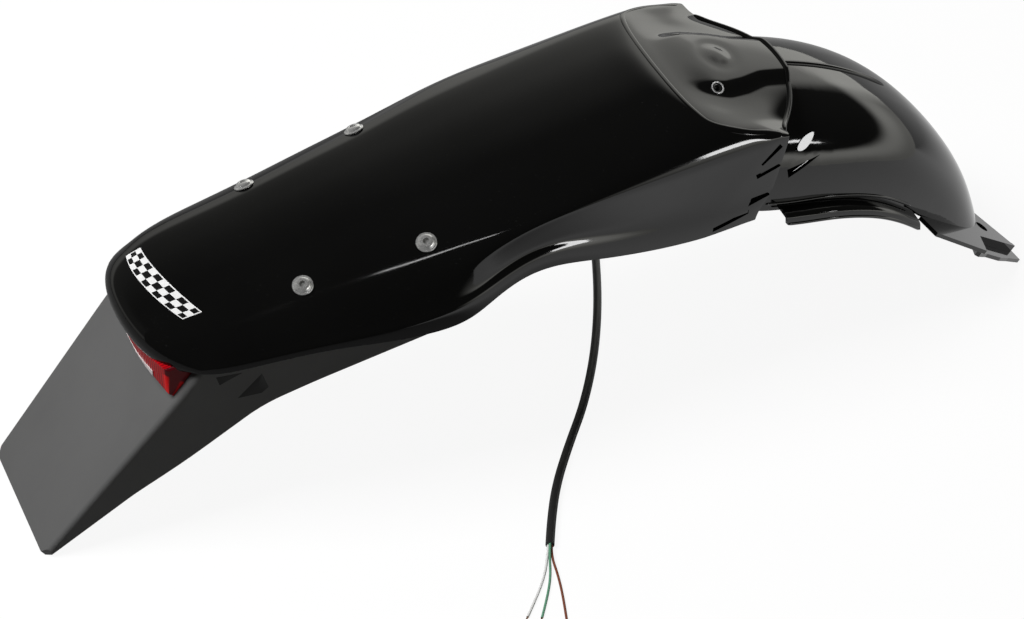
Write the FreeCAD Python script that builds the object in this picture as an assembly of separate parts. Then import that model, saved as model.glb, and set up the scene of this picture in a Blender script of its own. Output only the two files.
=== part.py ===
import FreeCAD, Part
import math
import os

# Rear fender of an off-road motorcycle with its inner mudguard, plate holder and tail light.
# Millimetres. +X points forward, +Y to the left of the machine, Z up, floor at z = 0.
# The part rests on the plate holder's lower edge and on the two feet of the mudguard.

V = FreeCAD.Vector

# Driving sizes
OVERALL_LENGTH = 732.9
OVERALL_WIDTH = 191.0
OVERALL_HEIGHT = 220.0
FENDER_WALL = 2.6
MUDGUARD_WALL = 2.4
HOLDER_WALL = 3.0
FOOT_PLATE = 3.0
FOOT_STEP = 4.6
FOOT_HOLE_DIAMETER = 10.0
LENS_WALL = 2.2
SCREW_DIAMETER = 6.0
SCREW_HOLE_DIAMETER = 6.6
SCREW_FLANGE_DIAMETER = 13.6
SCREW_HEAD_DIAMETER = 10.6
SCREW_HEAD_HEIGHT = 3.3
SCREW_KEY = 4.0
SCREW_FLANGE_THICKNESS = 1.0
NUT_CLEARANCE = 0.05
NUT_ACROSS_FLATS = 10.0
NUT_HEIGHT = 6.0
NUT_REACH = 1.6
BOSS_DIAMETER = 15.0
BOSS_PROJECTION = 1.2
SEAT_CLEARANCE = 0.3
FACE_CLEARANCE = 0.1
RIVET_HOLE_DIAMETER = 6.5
RIVET_PLACE = (490.0, 32.0)
SHEATH_DIAMETER = 6.0
WIRE_DIAMETER = 1.7
HOLDER_EDGE_RADIUS = 3.5
BOARD_THICKNESS = 1.6
BOARD_STANDOFF = 0.6
BOARD_MARGIN = 1.4
BOARD_TOP_MARGIN = 5.4
BOARD_HALF_WIDTH = 46.0
LED_SIZE = 4.8
LED_HEIGHT = 2.0
LED_PITCH = 13.0
LEDS_IN_ROW = 7

# Stations below are given on the nominal part: s from the rear end, y from the middle, z from the floor
NOMINAL_LENGTH = 732.9
NOMINAL_WIDTH = 191.0
NOMINAL_HEIGHT = 220.0
REAR_STATION = -4.4
FRONT_STATION = 728.5
REST_LIFT = 6.2
KX = OVERALL_LENGTH / NOMINAL_LENGTH
KY = OVERALL_WIDTH / NOMINAL_WIDTH
KZ = OVERALL_HEIGHT / NOMINAL_HEIGHT

REAR_SCREW = (187.0, 53.4)
FRONT_SCREW = (268.7, 61.8)

# Fender: half sections from the tail to the front edge.
# Each row: middle line (s, z), then shoulder, upper flank, crease, below crease,
# panel foot, band top and rim, each as (s, y, z).
FENDER_ROWS = [
    ((84.0, 153.0), (103, 50.5, 146.4), (107, 56.4, 142.0), (110, 60.6, 138.4), (111.2, 62.8, 136.4),
     (113.4, 67.0, 132.6), (114.2, 68.6, 131.4), (114.6, 69.2, 128.0)),
    ((101.0, 157.0), (112, 53.6, 149.2), (115.4, 59.8, 144.4), (118.4, 64.1, 140.6), (119.4, 66.5, 138.2),
     (121.4, 70.6, 133.6), (122.4, 72.2, 131.8), (122.8, 72.8, 128.4)),
    ((125.0, 161.4), (130, 56.0, 152.4), (132, 63.0, 147.7), (134, 67.4, 143.9), (135, 70.0, 141.2),
     (138, 74.4, 135.8), (139, 76.2, 133.8), (139.5, 76.8, 130.2)),
    ((155.0, 166.7), (158, 57.4, 156.8), (160, 65.8, 151.4), (162, 70.9, 147.0), (163, 73.7, 144.2),
     (165, 78.6, 138.6), (166, 80.6, 136.6), (166.5, 81.4, 132.8)),
    ((187.0, 172.4), (188, 60.0, 161.4), (190, 69.0, 155.5), (192, 74.6, 150.6), (193, 77.6, 147.4),
     (195, 83.2, 141.2), (196, 85.8, 139.0), (196.5, 86.8, 134.4)),
    ((228.0, 179.7), (228, 64.0, 168.6), (229, 73.5, 162.2), (230, 79.8, 155.8), (230, 83.2, 151.4),
     (230, 89.6, 142.8), (230, 92.8, 140.0), (230, 93.6, 132.8)),
    ((266.0, 186.4), (264, 66.5, 174.8), (263, 76.5, 168.2), (263, 82.9, 160.8), (263, 86.2, 155.4),
     (263, 92.6, 145.2), (263, 95.6, 141.8), (263, 96.2, 131.4)),
    ((293.0, 191.2), (290, 68.0, 180.4), (288, 77.0, 174.6), (286, 82.6, 167.6), (286, 85.2, 161.6),
     (285, 91.4, 148.4), (284, 95.0, 144.8), (284, 95.4, 133.6)),
    ((316.0, 195.3), (312, 68.8, 185.0), (309, 77.4, 180.2), (308, 81.8, 175.2), (307, 82.6, 169.8),
     (304, 85.4, 155.0), (303, 91.0, 151.6), (302, 91.6, 141.6)),
    ((341.0, 199.8), (336, 69.2, 189.6), (334, 77.6, 186.0), (333, 81.6, 182.8), (332, 81.6, 178.0),
     (326, 80.8, 161.6), (324, 87.2, 158.6), (323, 87.6, 148.8)),
    ((370.0, 204.9), (366, 69.4, 195.0), (364, 77.8, 191.0), (362, 82.0, 187.2), (361, 81.8, 182.6),
     (352, 79.8, 163.6), (349, 85.8, 160.4), (348, 86.2, 150.0)),
    ((406.0, 211.3), (404, 69.6, 201.8), (403, 78.0, 196.0), (402, 82.0, 189.4), (400, 81.8, 184.8),
     (386, 80.0, 156.4), (383, 86.0, 152.6), (382, 86.4, 141.8)),
    ((434.0, 216.3), (438, 69.2, 207.6), (446, 77.4, 200.6), (452, 81.8, 191.8), (450, 81.7, 187.2),
     (428, 81.0, 151.2), (423, 86.0, 146.6), (421, 86.4, 135.6)),
    ((447.0, 218.9), (463, 67.0, 211.8), (483, 75.0, 205.6), (496, 81.2, 195.0), (494, 81.2, 190.4),
     (462, 83.0, 149.2), (455, 86.0, 144.4), (452, 86.3, 133.6)),
    ((456.0, 218.8), (471, 67.6, 210.6), (490, 75.4, 204.2), (504, 81.0, 195.8), (503, 81.1, 191.2),
     (472, 83.0, 148.8), (464, 85.8, 144.2), (461, 86.1, 134.0)),
    ((486.0, 211.6), (492, 64.4, 204.2), (501, 73.0, 201.8), (510, 80.4, 197.2), (509, 80.8, 192.6),
     (485, 82.6, 148.2), (478, 85.2, 144.4), (475, 85.6, 134.4)),
    ((515.0, 203.6), (507, 63.4, 199.2), (509, 72.0, 198.6), (514, 80.0, 196.6), (513, 80.6, 192.0),
     (497, 82.2, 147.4), (489, 84.2, 144.2), (486, 84.6, 134.4)),
    ((541.0, 195.6), (520, 61.4, 192.8), (516, 70.8, 194.8), (517, 79.8, 196.0), (516, 80.4, 191.4),
     (503, 82.0, 146.8), (495, 83.6, 143.8), (492, 84.0, 134.0)),
    ((550.0, 192.4), (526, 60.4, 190.0), (519, 70.2, 193.0), (518, 79.6, 195.6), (517, 80.2, 191.0),
     (505, 81.8, 146.6), (497, 83.3, 143.6), (494, 83.7, 133.8)),
]

# Tail lip, from its lower edge up over the bulge to the top: middle (s, z) and corner (s, y, z)
TAIL_ROWS = [
    ((80.0, 126.0), (102.0, 60.0, 127.2)),
    ((74.4, 136.8), (105.6, 63.2, 127.6)),
    ((75.0, 148.6), (109.6, 66.8, 127.9)),
]
# Share of the half width at each point of a tail row, and how its bow and its fall grow with that share
TAIL_SHARES = (0.0, 0.23, 0.45, 0.63, 0.76, 0.84, 0.89, 0.92, 0.945, 0.965, 0.985, 1.0)
TAIL_BOW_POWER = 2.5
TAIL_FALL_POWER = 2.2
TAIL_BULGE = 0.10
# Between the middle and the shoulder, for each of three points: share of the width, of the lead and of the fall
CROWN = ((0.33, 0.06, 0.04), (0.64, 0.36, 0.26), (0.85, 0.70, 0.60))
# Fall on the front platform, from its transverse crease on and at its front edge: a low dome with flat sides
PLATFORM_STATION = 460.0
PLATFORM_FALL = (0.16, 0.92, 0.98)
FRONT_EDGE_STATION = 530.0
FRONT_EDGE_FALL = (0.12, 0.70, 1.02)
PANEL_SHARE = 0.52
# Slits in the corners of the side panels (s, z)
SLITS = (((494.0, 168.0), (515.0, 172.4), (515.6, 170.6), (494.6, 166.8)),
         ((497.0, 179.0), (508.0, 188.6), (508.8, 187.4), (498.0, 178.2)))

# How far drills reach from a skin, and the stretch across the part that cuts in the side walls take
DRILL_REACH = 12.0
WALL_CUT = (60.0, 100.0)

# Middle line of the mudguard (s, z), half width and depth of its section there
MUDGUARD_ROWS = [
    (474.0, 210.0, 72.0, 62.0),
    (492.0, 206.4, 73.5, 66.0),
    (510.0, 201.4, 74.5, 69.0),
    (530.0, 195.6, 75.5, 69.5),
    (552.0, 188.6, 76.0, 66.6),
    (576.0, 179.8, 76.0, 62.0),
    (601.0, 167.8, 75.5, 58.0),
    (627.0, 151.2, 74.5, 54.0),
    (652.0, 129.6, 73.0, 51.0),
    (675.0, 102.8, 70.5, 47.5),
    (693.0, 74.4, 68.0, 44.0),
    (704.0, 47.0, 65.0, 40.0),
    (711.0, 23.0, 63.0, 37.0),
    (715.0, 4.0, 61.0, 35.0),
]
SECTION_POWER = 2.4

# Rails along the lower edges of its walls: the stretch they cover and their lift at both ends
RAIL_SPAN = (0.21, 0.68)
RAIL_LIFT = (4.6, 1.4)

# Feet: the sloping plane through (s, z) with its fall, and their outline as (s, y)
FOOT_PLANE = (634.0, 78.1)
FOOT_FALL = 0.763
FOOT_OUTLINE = [(726.5, 60.0), (690.0, 66.5), (682.0, 88.0), (637.0, 90.0), (633.5, 72.0)]
TONGUE_OUTLINE = [(690.5, 65.0), (727.0, 58.5), (728.5, 69.5), (714.0, 75.0), (704.0, 79.5), (686.0, 82.5)]
FOOT_HOLE = (703.5, 48.5)
TRIM_DEPTH = 1.0
ROOT_STEPS = 9
ROOT_SINK = 1.2
# Riser between foot and tongue and heel behind it (s, y), and the heel's own floor at the tongue's level
RISER_OUTLINE = [(689.5, 66.4), (726.8, 59.9), (726.0, 57.0), (689.0, 63.4)]
HEEL_OUTLINE = [(681.4, 86.0), (691.0, 64.0), (688.0, 62.5), (678.6, 85.0)]
HEEL_FLOOR = [(681.0, 86.0), (690.8, 64.0), (693.0, 64.0), (690.0, 82.0)]
# Rail section out from the wall (across, up), and the three-cornered opening behind it (s, z)
RAIL_SECTION = ((1.6, 0.0), (-4.0, 0.0), (-9.0, -0.6), (-11.6, -1.6), (-12.4, -3.6), (-12.6, -7.6))
RAIL_STEPS = 9
CORNER_OPENING = ((523.5, 156.8), (550.4, 158.5), (523.8, 151.0))

# Plate holder: side view (s, z) and half of its plan (s, y), each corner with its radius
HOLDER_TIP = (-4.4, -4.2)
HOLDER_KNEE = (122.05, 138.64)
HOLDER_TOP_END = (286.0, 164.8)
HOLDER_FRONT_FOOT = (290.0, 110.0)
HOLDER_LOWER_EDGE = [((150.0, 82.6), 90.0), ((60.0, 34.0), 200.0)]
HOLDER_KNEE_RADIUS = 28.0
HOLDER_PLAN = [((-4.4, 47.6), 0.0), ((1.4, 54.2), 0.0), ((95.0, 63.0), 400.0), ((187.0, 64.4), 600.0),
               ((300.0, 70.2), 0.0)]
LAMP_PLACE = (101.4, 115.5)

# Tail lens: side view (s, z), and the bow of its rear face in plan
LENS_SIDE = [(93.6, 106.8), (83.2, 115.6), (81.6, 120.4), (84.6, 124.4), (92.0, 125.2), (109.2, 124.4)]
LENS_HALF_WIDTH = 57.0
LENS_BOW = 9.0
LENS_WINDOW_HALF_WIDTH = 34.0

# Cable: its run after the first straight out of the grommet, as (s, y, height over the floor)
CABLE_EXIT = 29.0
CABLE_ROUTE = [(158.0, 5.0, 74.0), (184.0, 14.0, 48.0), (214.0, 28.0, 26.0), (250.0, 48.0, 9.0),
               (290.0, 74.0, 3.05), (334.0, 101.5, 3.05), (378.0, 126.0, 3.05), (418.0, 139.0, 3.05),
               (450.0, 135.0, 3.05), (466.0, 107.0, 3.05), (453.0, 72.0, 3.05), (430.0, 18.0, 3.05),
               (404.0, -31.0, 3.05), (376.0, -73.0, 3.05), (350.0, -104.0, 3.05), (326.0, -135.0, 3.05),
               (308.0, -166.0, 3.05), (300.0, -182.0, 3.05)]
# Thin wires out of the sheath's end: where each starts on it (across, up), then its run on the floor
WIRE_EXIT = 9.0
WIRE_ROUTES = {
    "wire_white": ((-1.15, -0.5), [(286.0, -204.0, 1.3), (273.0, -219.0, 1.0), (262.0, -230.5, 0.9)]),
    "wire_green": ((0.0, 1.25), [(289.5, -206.0, 1.3), (279.5, -222.0, 1.0), (270.0, -235.0, 0.9)]),
    "wire_brown": ((1.15, -0.5), [(294.5, -206.5, 1.3), (289.5, -225.5, 1.0), (283.5, -243.5, 0.9)]),
}
BARE_WIRE = 7.0
STRAND_DIAMETER = 1.1
GROMMET_LENGTH = 10.0
GROMMET_DIAMETER = 9.8
GROMMET_COLLAR_DIAMETER = 14.0
GROMMET_COLLAR = 3.0
RIVET_FLANGE_DIAMETER = 9.0
RIVET_BORE_DIAMETER = 4.2
RIVET_FLANGE = 0.9


def pt(s, y, z):
    """Point of the part from its nominal station, turned to rest on both ends."""
    turn = math.atan2(REST_LIFT, FRONT_STATION)
    x = FRONT_STATION + (s - FRONT_STATION) * math.cos(turn) + z * math.sin(turn)
    h = z * math.cos(turn) - (s - FRONT_STATION) * math.sin(turn)
    return V(KX * (x - 0.5 * (REAR_STATION + FRONT_STATION)), KY * y, KZ * h)


def ground(s, y, z):
    """Point given by its height over the floor, for the cable."""
    return V(pt(s, 0.0, 0.0).x, KY * y, z)


def lerp(a, b, t):
    return tuple(p + (q - p) * t for p, q in zip(a, b))


def fender_half_rows():
    """Half sections of the fender, middle to rim, as (s, y, z)."""
    rows = []
    for (s0, z0), (sc, yc, zc) in TAIL_ROWS:
        row = []
        for a in TAIL_SHARES:
            s = s0 + (sc - s0) * a ** TAIL_BOW_POWER
            y = yc * a * (1.0 + TAIL_BULGE * math.sin(math.pi * a))
            z = z0 + (zc - z0) * a ** TAIL_FALL_POWER
            row.append((s, y, z))
        rows.append(row)
    for (sc, zc), c4, c5, c6, c7, c9, c10, c11 in FENDER_ROWS:
        falls = [fall for _, _, fall in CROWN]
        if sc > FRONT_EDGE_STATION:
            falls = FRONT_EDGE_FALL
        elif sc > PLATFORM_STATION:
            falls = PLATFORM_FALL
        row = [(sc, 0.0, zc)]
        for (width, lead, _), fall in zip(CROWN, falls):
            row.append((sc + (c4[0] - sc) * lead, c4[1] * width, zc - (zc - c4[2]) * fall))
        row += [c4, c5, c6, c7, lerp(c7, c9, PANEL_SHARE), c9, c10, c11]
        rows.append(row)
    return rows


def mirrored(rows):
    """Full rows, left rim to right rim, from half rows."""
    full = []
    for row in rows:
        left = [(s, y, z) for s, y, z in reversed(row[1:])]
        right = [(s, -y, z) for s, y, z in row]
        full.append([pt(*p) for p in left + right])
    return full


def knots(count, degree):
    inner = count - degree
    return list(range(inner + 1)), [degree + 1] + [1] * (inner - 1) + [degree + 1]


def net_surface(net, degree_u=3, degree_v=3):
    """Smooth surface held by a net of points."""
    ku, mu = knots(len(net), degree_u)
    kv, mv = knots(len(net[0]), degree_v)
    surface = Part.BSplineSurface()
    surface.buildFromPolesMultsKnots(net, mu, mv, ku, kv, False, False, degree_u, degree_v)
    return surface


def greville(count, degree):
    values, mults = knots(count, degree)
    flat = [k for k, m in zip(values, mults) for _ in range(m)]
    return [sum(flat[i + 1:i + 1 + degree]) / degree for i in range(count)]


def offset_net(net, distance, degree_u=3, degree_v=3):
    """The net moved along the surface's own normals."""
    surface = net_surface(net, degree_u, degree_v)
    us = greville(len(net), degree_u)
    vs = greville(len(net[0]), degree_v)
    eps = 0.04
    moved = []
    for i, u in enumerate(us):
        row = []
        for j, v in enumerate(vs):
            uu = min(max(u, us[0] + eps), us[-1] - eps)
            vv = min(max(v, vs[0] + eps), vs[-1] - eps)
            n = surface.normal(uu, vv)
            row.append(net[i][j] + n * distance)
        moved.append(row)
    return moved


def net_shell(net, wall, degree_u=3, degree_v=3):
    """Solid sheet of even wall between a net and its offset, on the side away from outside."""
    outer = net_surface(net, degree_u, degree_v)
    middle = outer.normal(0.5 * (len(net) - degree_u), 0.5 * (len(net[0]) - degree_v))
    sign = -1.0 if middle.z > 0.0 else 1.0
    inner = net_surface(offset_net(net, sign * wall, degree_u, degree_v), degree_u, degree_v)
    faces = [outer.toShape(), inner.toShape()]
    last_u = len(net) - degree_u
    last_v = len(net[0]) - degree_v
    for u in (0, last_u):
        faces.append(Part.makeRuledSurface(outer.uIso(u).toShape(), inner.uIso(u).toShape()))
    for v in (0, last_v):
        faces.append(Part.makeRuledSurface(outer.vIso(v).toShape(), inner.vIso(v).toShape()))
    shell = Part.makeShell(faces)
    shell.sewShape()
    if shell.ShapeType != "Shell":
        shell = shell.Shells[0]
    solid = Part.makeSolid(shell)
    if solid.Volume < 0:
        solid.reverse()
    return solid, outer


def prism(outline, direction):
    """Solid swept from a closed outline of points."""
    face = Part.Face(Part.makePolygon(outline + [outline[0]]))
    return face.extrude(direction)


def cylinder(base, axis, radius, length):
    return Part.makeCylinder(radius, length, base, axis)


def biggest(shape):
    return max(shape.Solids, key=lambda s: s.Volume)


def both(shape):
    """A shape and its mirror image across the middle."""
    return shape, shape.mirror(V(0, 0, 0), V(0, 1, 0))


def rounded_loop(corners):
    """Closed outline of straight runs, each corner rounded by its own radius."""
    edges = []
    starts, ends = [], []
    for k, (corner, radius) in enumerate(corners):
        into = corner - corners[k - 1][0]
        out = corners[(k + 1) % len(corners)][0] - corner
        into.normalize()
        out.normalize()
        half_turn = 0.5 * into.getAngle(out)
        reach = radius * math.tan(half_turn)
        starts.append(corner - into * reach)
        ends.append(corner + out * reach)
        if radius > 0.0:
            inward = out - into
            inward.normalize()
            middle = corner + inward * (radius / math.cos(half_turn) - radius)
            edges.append(Part.Arc(starts[-1], middle, ends[-1]).toShape())
    for k, end in enumerate(ends):
        edges.append(Part.makeLine(end, starts[(k + 1) % len(starts)]))
    return Part.Wire(Part.__sortEdges__(edges))


def flat_side(points, half):
    """Prism across the part from a side view."""
    outline = [V(pt(s, 0, z).x, -half, pt(s, 0, z).z) for s, z in points]
    return prism(outline, V(0, 2.0 * half, 0))


def surface_point(surface, s, y):
    """Point and outward normal of a surface above a plan position."""
    target = pt(s, y, 0)
    line = Part.makeLine(V(target.x, target.y, 0.0), V(target.x, target.y, 2.0 * OVERALL_HEIGHT))
    hits = surface.toShape().section(line).Vertexes
    top = max(hits, key=lambda h: h.Point.z)
    u, v = surface.parameter(top.Point)
    p = surface.value(u, v)
    n = surface.normal(u, v)
    if n.z < 0:
        n = n * -1.0
    return p, n


def skin_along(surface, p, n):
    """Where a surface is met from a point against a normal, and its own normal there."""
    line = Part.makeLine(p + n * BOSS_DIAMETER, p - n * OVERALL_HEIGHT)
    hits = surface.toShape().section(line).Vertexes
    q = min((h.Point for h in hits), key=lambda h: (h - p).Length)
    m = surface.normal(*surface.parameter(q))
    if m.dot(n) < 0.0:
        m = m * -1.0
    return q, m


def side_cut(outline, sign):
    """Prism through one side wall from a side view."""
    corners = [V(pt(s, 0, z).x, sign * KY * WALL_CUT[0], pt(s, 0, z).z) for s, z in outline]
    return prism(corners, V(0, sign * KY * (WALL_CUT[1] - WALL_CUT[0]), 0))


PARTS = {}
SIDES = {"right": -1.0, "left": 1.0}

# Main fender
fender, fender_surface = net_shell(mirrored(fender_half_rows()), FENDER_WALL)
fasteners = {}
for end, (s, y) in (("rear", REAR_SCREW), ("front", FRONT_SCREW)):
    for side, sign in SIDES.items():
        fasteners[end + "_" + side] = surface_point(fender_surface, s, sign * y)
for p, n in fasteners.values():
    fender = fender.cut(cylinder(p - n * DRILL_REACH, n, SCREW_HOLE_DIAMETER / 2.0, 2.0 * DRILL_REACH))
ring_points = []
for side in SIDES:
    ring_points.append(surface_point(fender_surface, RIVET_PLACE[0], SIDES[side] * RIVET_PLACE[1]))
for p, n in ring_points:
    fender = fender.cut(cylinder(p - n * DRILL_REACH, n, RIVET_HOLE_DIAMETER / 2.0, 2.0 * DRILL_REACH))
for sign in SIDES.values():
    for slit in SLITS:
        fender = fender.cut(side_cut(slit, sign))
PARTS["rear_fender"] = biggest(fender)


# Inner mudguard
def mudguard_half_rows():
    rows = []
    count = len(MUDGUARD_ROWS)
    for i, (s, z, half, depth) in enumerate(MUDGUARD_ROWS):
        a = MUDGUARD_ROWS[max(i - 1, 0)]
        b = MUDGUARD_ROWS[min(i + 1, count - 1)]
        length = math.hypot(b[0] - a[0], b[1] - a[1])
        ns, nz = -(b[1] - a[1]) / length, (b[0] - a[0]) / length
        row = []
        for theta in (0.0, 13.0, 27.0, 41.0, 54.0, 66.0, 77.0, 90.0):
            y = half * math.sin(math.radians(theta)) ** (2.0 / SECTION_POWER)
            drop = depth * (1.0 - max(math.cos(math.radians(theta)), 0.0) ** (2.0 / SECTION_POWER))
            row.append((s - ns * drop, y, z - nz * drop))
        rows.append(row)
    return rows


guard_net = mirrored(mudguard_half_rows())
guard, guard_surface = net_shell(guard_net, MUDGUARD_WALL)

foot_run = pt(1.0, 0.0, -FOOT_FALL) - pt(0.0, 0.0, 0.0)
foot_normal = V(-foot_run.z, 0.0, foot_run.x)
foot_normal.normalize()


def on_foot(s, y, lift=0.0):
    """Point of the foot plane, lifted along its normal."""
    return pt(s, y, FOOT_PLANE[1] - FOOT_FALL * (s - FOOT_PLANE[0])) + foot_normal * lift


# The skin ends just under the foot plane
trim = [(FOOT_PLANE[0] - TRIM_DEPTH, -1), (FRONT_STATION + OVERALL_HEIGHT, -1),
        (FRONT_STATION + OVERALL_HEIGHT, 1), (FOOT_PLANE[0] - TRIM_DEPTH, 1)]
below = prism([on_foot(s, sign * NOMINAL_WIDTH, -TRIM_DEPTH) for s, sign in trim],
              foot_normal * -OVERALL_HEIGHT)
guard = biggest(guard.cut(below))

# Where the mudguard's skin meets the foot plane, from the wall round towards the middle
plane_point = on_foot(FOOT_PLANE[0], 0.0)
roots = []
last_u = len(guard_net) - 3
last_v = len(guard_net[0]) - 3
for k in range(ROOT_STEPS):
    v = last_v * (0.985 - 0.045 * k)
    low, high = 0.0, float(last_u)
    for _ in range(40):
        mid = 0.5 * (low + high)
        if (guard_surface.value(mid, v) - plane_point).dot(foot_normal) > 0.0:
            low = mid
        else:
            high = mid
    p = guard_surface.value(low, v)
    n = guard_surface.normal(low, v)
    if n.y > 0.0:
        n = n * -1.0
    n = n - foot_normal * n.dot(foot_normal)
    n.normalize()
    roots.append(p - n * ROOT_SINK)

right_foot = [on_foot(s, -y) for s, y in FOOT_OUTLINE]
root_line = [p - foot_normal * (p - plane_point).dot(foot_normal) for p in roots]
ear = prism(right_foot + root_line, foot_normal * -FOOT_PLATE)
step_down = foot_normal * -(FOOT_STEP + FOOT_PLATE)
tongue = prism([on_foot(s, -y, -FOOT_STEP) for s, y in TONGUE_OUTLINE], foot_normal * -FOOT_PLATE)
riser = prism([on_foot(s, -y) for s, y in RISER_OUTLINE], step_down)
heel = prism([on_foot(s, -y) for s, y in HEEL_OUTLINE], step_down)
heel_floor = prism([on_foot(s, -y, -FOOT_STEP) for s, y in HEEL_FLOOR], foot_normal * -FOOT_PLATE)
foot = ear.fuse([tongue, riser, heel, heel_floor])

# Rails along the lower edge of the mudguard's walls: a shelf outward with a turned-down band
rail_rows = []
for k in range(RAIL_STEPS):
    share = k / (RAIL_STEPS - 1.0)
    u = last_u * (RAIL_SPAN[0] + (RAIL_SPAN[1] - RAIL_SPAN[0]) * share)
    b = guard_surface.value(u, last_v)
    lift = RAIL_LIFT[0] + (RAIL_LIFT[1] - RAIL_LIFT[0]) * share
    row = []
    for dy, dz in RAIL_SECTION:
        row.append(V(b.x, b.y + KY * dy, b.z + lift + dz))
    rail_rows.append(row)
rail, _ = net_shell(rail_rows, MUDGUARD_WALL)

guard = guard.fuse([*both(foot), *both(rail)])
for sign in SIDES.values():
    guard = guard.cut(side_cut(CORNER_OPENING, sign))
    hole = on_foot(FOOT_HOLE[0], sign * FOOT_HOLE[1], DRILL_REACH)
    guard = guard.cut(cylinder(hole, foot_normal * -1.0, FOOT_HOLE_DIAMETER / 2.0, 3.0 * DRILL_REACH))
for p, n in ring_points:
    guard = guard.cut(cylinder(p, n * -1.0, RIVET_HOLE_DIAMETER / 2.0, 2.0 * DRILL_REACH))
PARTS["inner_mudguard"] = biggest(guard)

# Plate holder: a block from its side view and plan with rounded long edges, hollowed from below
ramp_axis = pt(HOLDER_KNEE[0], 0.0, HOLDER_KNEE[1]) - pt(HOLDER_TIP[0], 0.0, HOLDER_TIP[1])
ramp_axis.normalize()
ramp_normal = V(-ramp_axis.z, 0.0, ramp_axis.x)
top_start = pt(HOLDER_KNEE[0], 0.0, HOLDER_KNEE[1])
top_axis = pt(HOLDER_TOP_END[0], 0.0, HOLDER_TOP_END[1]) - top_start
top_axis.normalize()
top_normal = V(-top_axis.z, 0.0, top_axis.x)
tip = pt(HOLDER_TIP[0], 0.0, HOLDER_TIP[1])
side_shift = V(0, -OVERALL_WIDTH, 0)


def holder_block(side, inset):
    """Side view across the part, cut to the plan, both moved inward by an inset."""
    plan = [(pt(s, y, 0.0), radius) for (s, y), radius in HOLDER_PLAN]
    plan += [(V(p.x, -p.y, 0.0), radius) for p, radius in reversed(plan)]
    side_wire = rounded_loop([(p + side_shift, radius) for p, radius in side])
    plan_wire = rounded_loop([(V(p.x, p.y, -OVERALL_HEIGHT), radius) for p, radius in plan])
    if inset > 0.0:
        side_wire = side_wire.makeOffset2D(-inset, 2)
        plan_wire = plan_wire.makeOffset2D(-inset, 2)
    block = Part.Face(side_wire).extrude(side_shift * -2.0)
    return biggest(block.common(Part.Face(plan_wire).extrude(V(0, 0, 4.0 * OVERALL_HEIGHT))))


def on_ramp_or_top(p):
    """Whether a point lies on the ramp or on the top, clear of the rounded knee between them."""
    to_ramp = (p - tip).dot(ramp_normal)
    to_top = (p - top_start).dot(top_normal)
    return max(to_ramp, to_top) > -HOLDER_WALL


ramp_corners = [(tip, 0.0), (top_start, HOLDER_KNEE_RADIUS)]
outer_side = ramp_corners + [(pt(s, 0.0, z), 0.0) for s, z in (HOLDER_TOP_END, HOLDER_FRONT_FOOT)]
outer_side += [(pt(s, 0.0, z), radius) for (s, z), radius in HOLDER_LOWER_EDGE]
outer_side.append((tip - ramp_normal * HOLDER_WALL, 0.0))
front_end = top_start + top_axis * OVERALL_LENGTH
hollow_side = ramp_corners + [(front_end, 0.0), (front_end - V(0, 0, 2.0 * OVERALL_HEIGHT), 0.0)]
hollow_side.append((tip - ramp_normal * OVERALL_HEIGHT, 0.0))
holder = holder_block(outer_side, 0.0)
long_edges = []
for edge in holder.Edges:
    ends = [vertex.Point for vertex in edge.Vertexes]
    if all(on_ramp_or_top(p) for p in ends) and ends[0].y * ends[-1].y > 0.0:
        if min(p.x for p in ends) > tip.x + HOLDER_WALL:
            long_edges.append(edge)
holder = holder.makeFillet(HOLDER_EDGE_RADIUS, long_edges)
holder = holder.cut(holder_block(hollow_side, HOLDER_WALL))
under_fender, _ = net_shell(mirrored(fender_half_rows()), FENDER_WALL + SEAT_CLEARANCE)
boss_lengths = {}
for place, (p, n) in fasteners.items():
    tilt = n.getAngle(top_normal)
    drop = (p - top_start).dot(top_normal) / n.dot(top_normal) + HOLDER_WALL / math.cos(tilt)
    boss_lengths[place] = drop + 0.5 * BOSS_DIAMETER * math.tan(tilt) + BOSS_PROJECTION
    boss = cylinder(p, n * -1.0, BOSS_DIAMETER / 2.0, boss_lengths[place])
    boss = min(boss.cut(under_fender).Solids, key=lambda piece: (piece.CenterOfMass - p).dot(n))
    holder = holder.fuse(boss)
for p, n in fasteners.values():
    holder = holder.cut(cylinder(p + n * DRILL_REACH, n * -1.0, SCREW_HOLE_DIAMETER / 2.0, 5.0 * DRILL_REACH))
lamp_centre = pt(LAMP_PLACE[0], 0.0, LAMP_PLACE[1])
holder = holder.cut(cylinder(lamp_centre + ramp_normal * DRILL_REACH, ramp_normal * -1.0,
                             GROMMET_DIAMETER / 2.0 + FACE_CLEARANCE, 3.0 * DRILL_REACH))
PARTS["plate_holder"] = biggest(holder)


# Tail lens, hollow and open towards the ramp
def lens_block(inset):
    """Lens block: its side view across the part, cut to a bowed rear face in plan."""
    half = KY * LENS_HALF_WIDTH - inset
    corners = [V(pt(s, 0, z).x, -half, pt(s, 0, z).z) for s, z in LENS_SIDE]
    side = Part.makePolygon(corners + corners[:1])
    if inset > 0.0:
        side = side.makeOffset2D(-inset, 2)
    block = Part.Face(side).extrude(V(0, 2.0 * half, 0))
    rear = pt(min(s for s, _ in LENS_SIDE), 0.0, LENS_SIDE[2][1]).x + inset
    ends = rear + KX * LENS_BOW
    front = rear + KX * 2.0 * LENS_HALF_WIDTH
    bow = Part.Arc(V(ends, -half, 0), V(rear, 0, 0), V(ends, half, 0)).toShape()
    rest = Part.makePolygon([V(ends, half, 0), V(front, half, 0), V(front, -half, 0), V(ends, -half, 0)])
    plan = Part.Face(Part.Wire([bow] + rest.Edges)).extrude(V(0, 0, 2.0 * OVERALL_HEIGHT))
    return biggest(block.common(plan))


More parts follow.
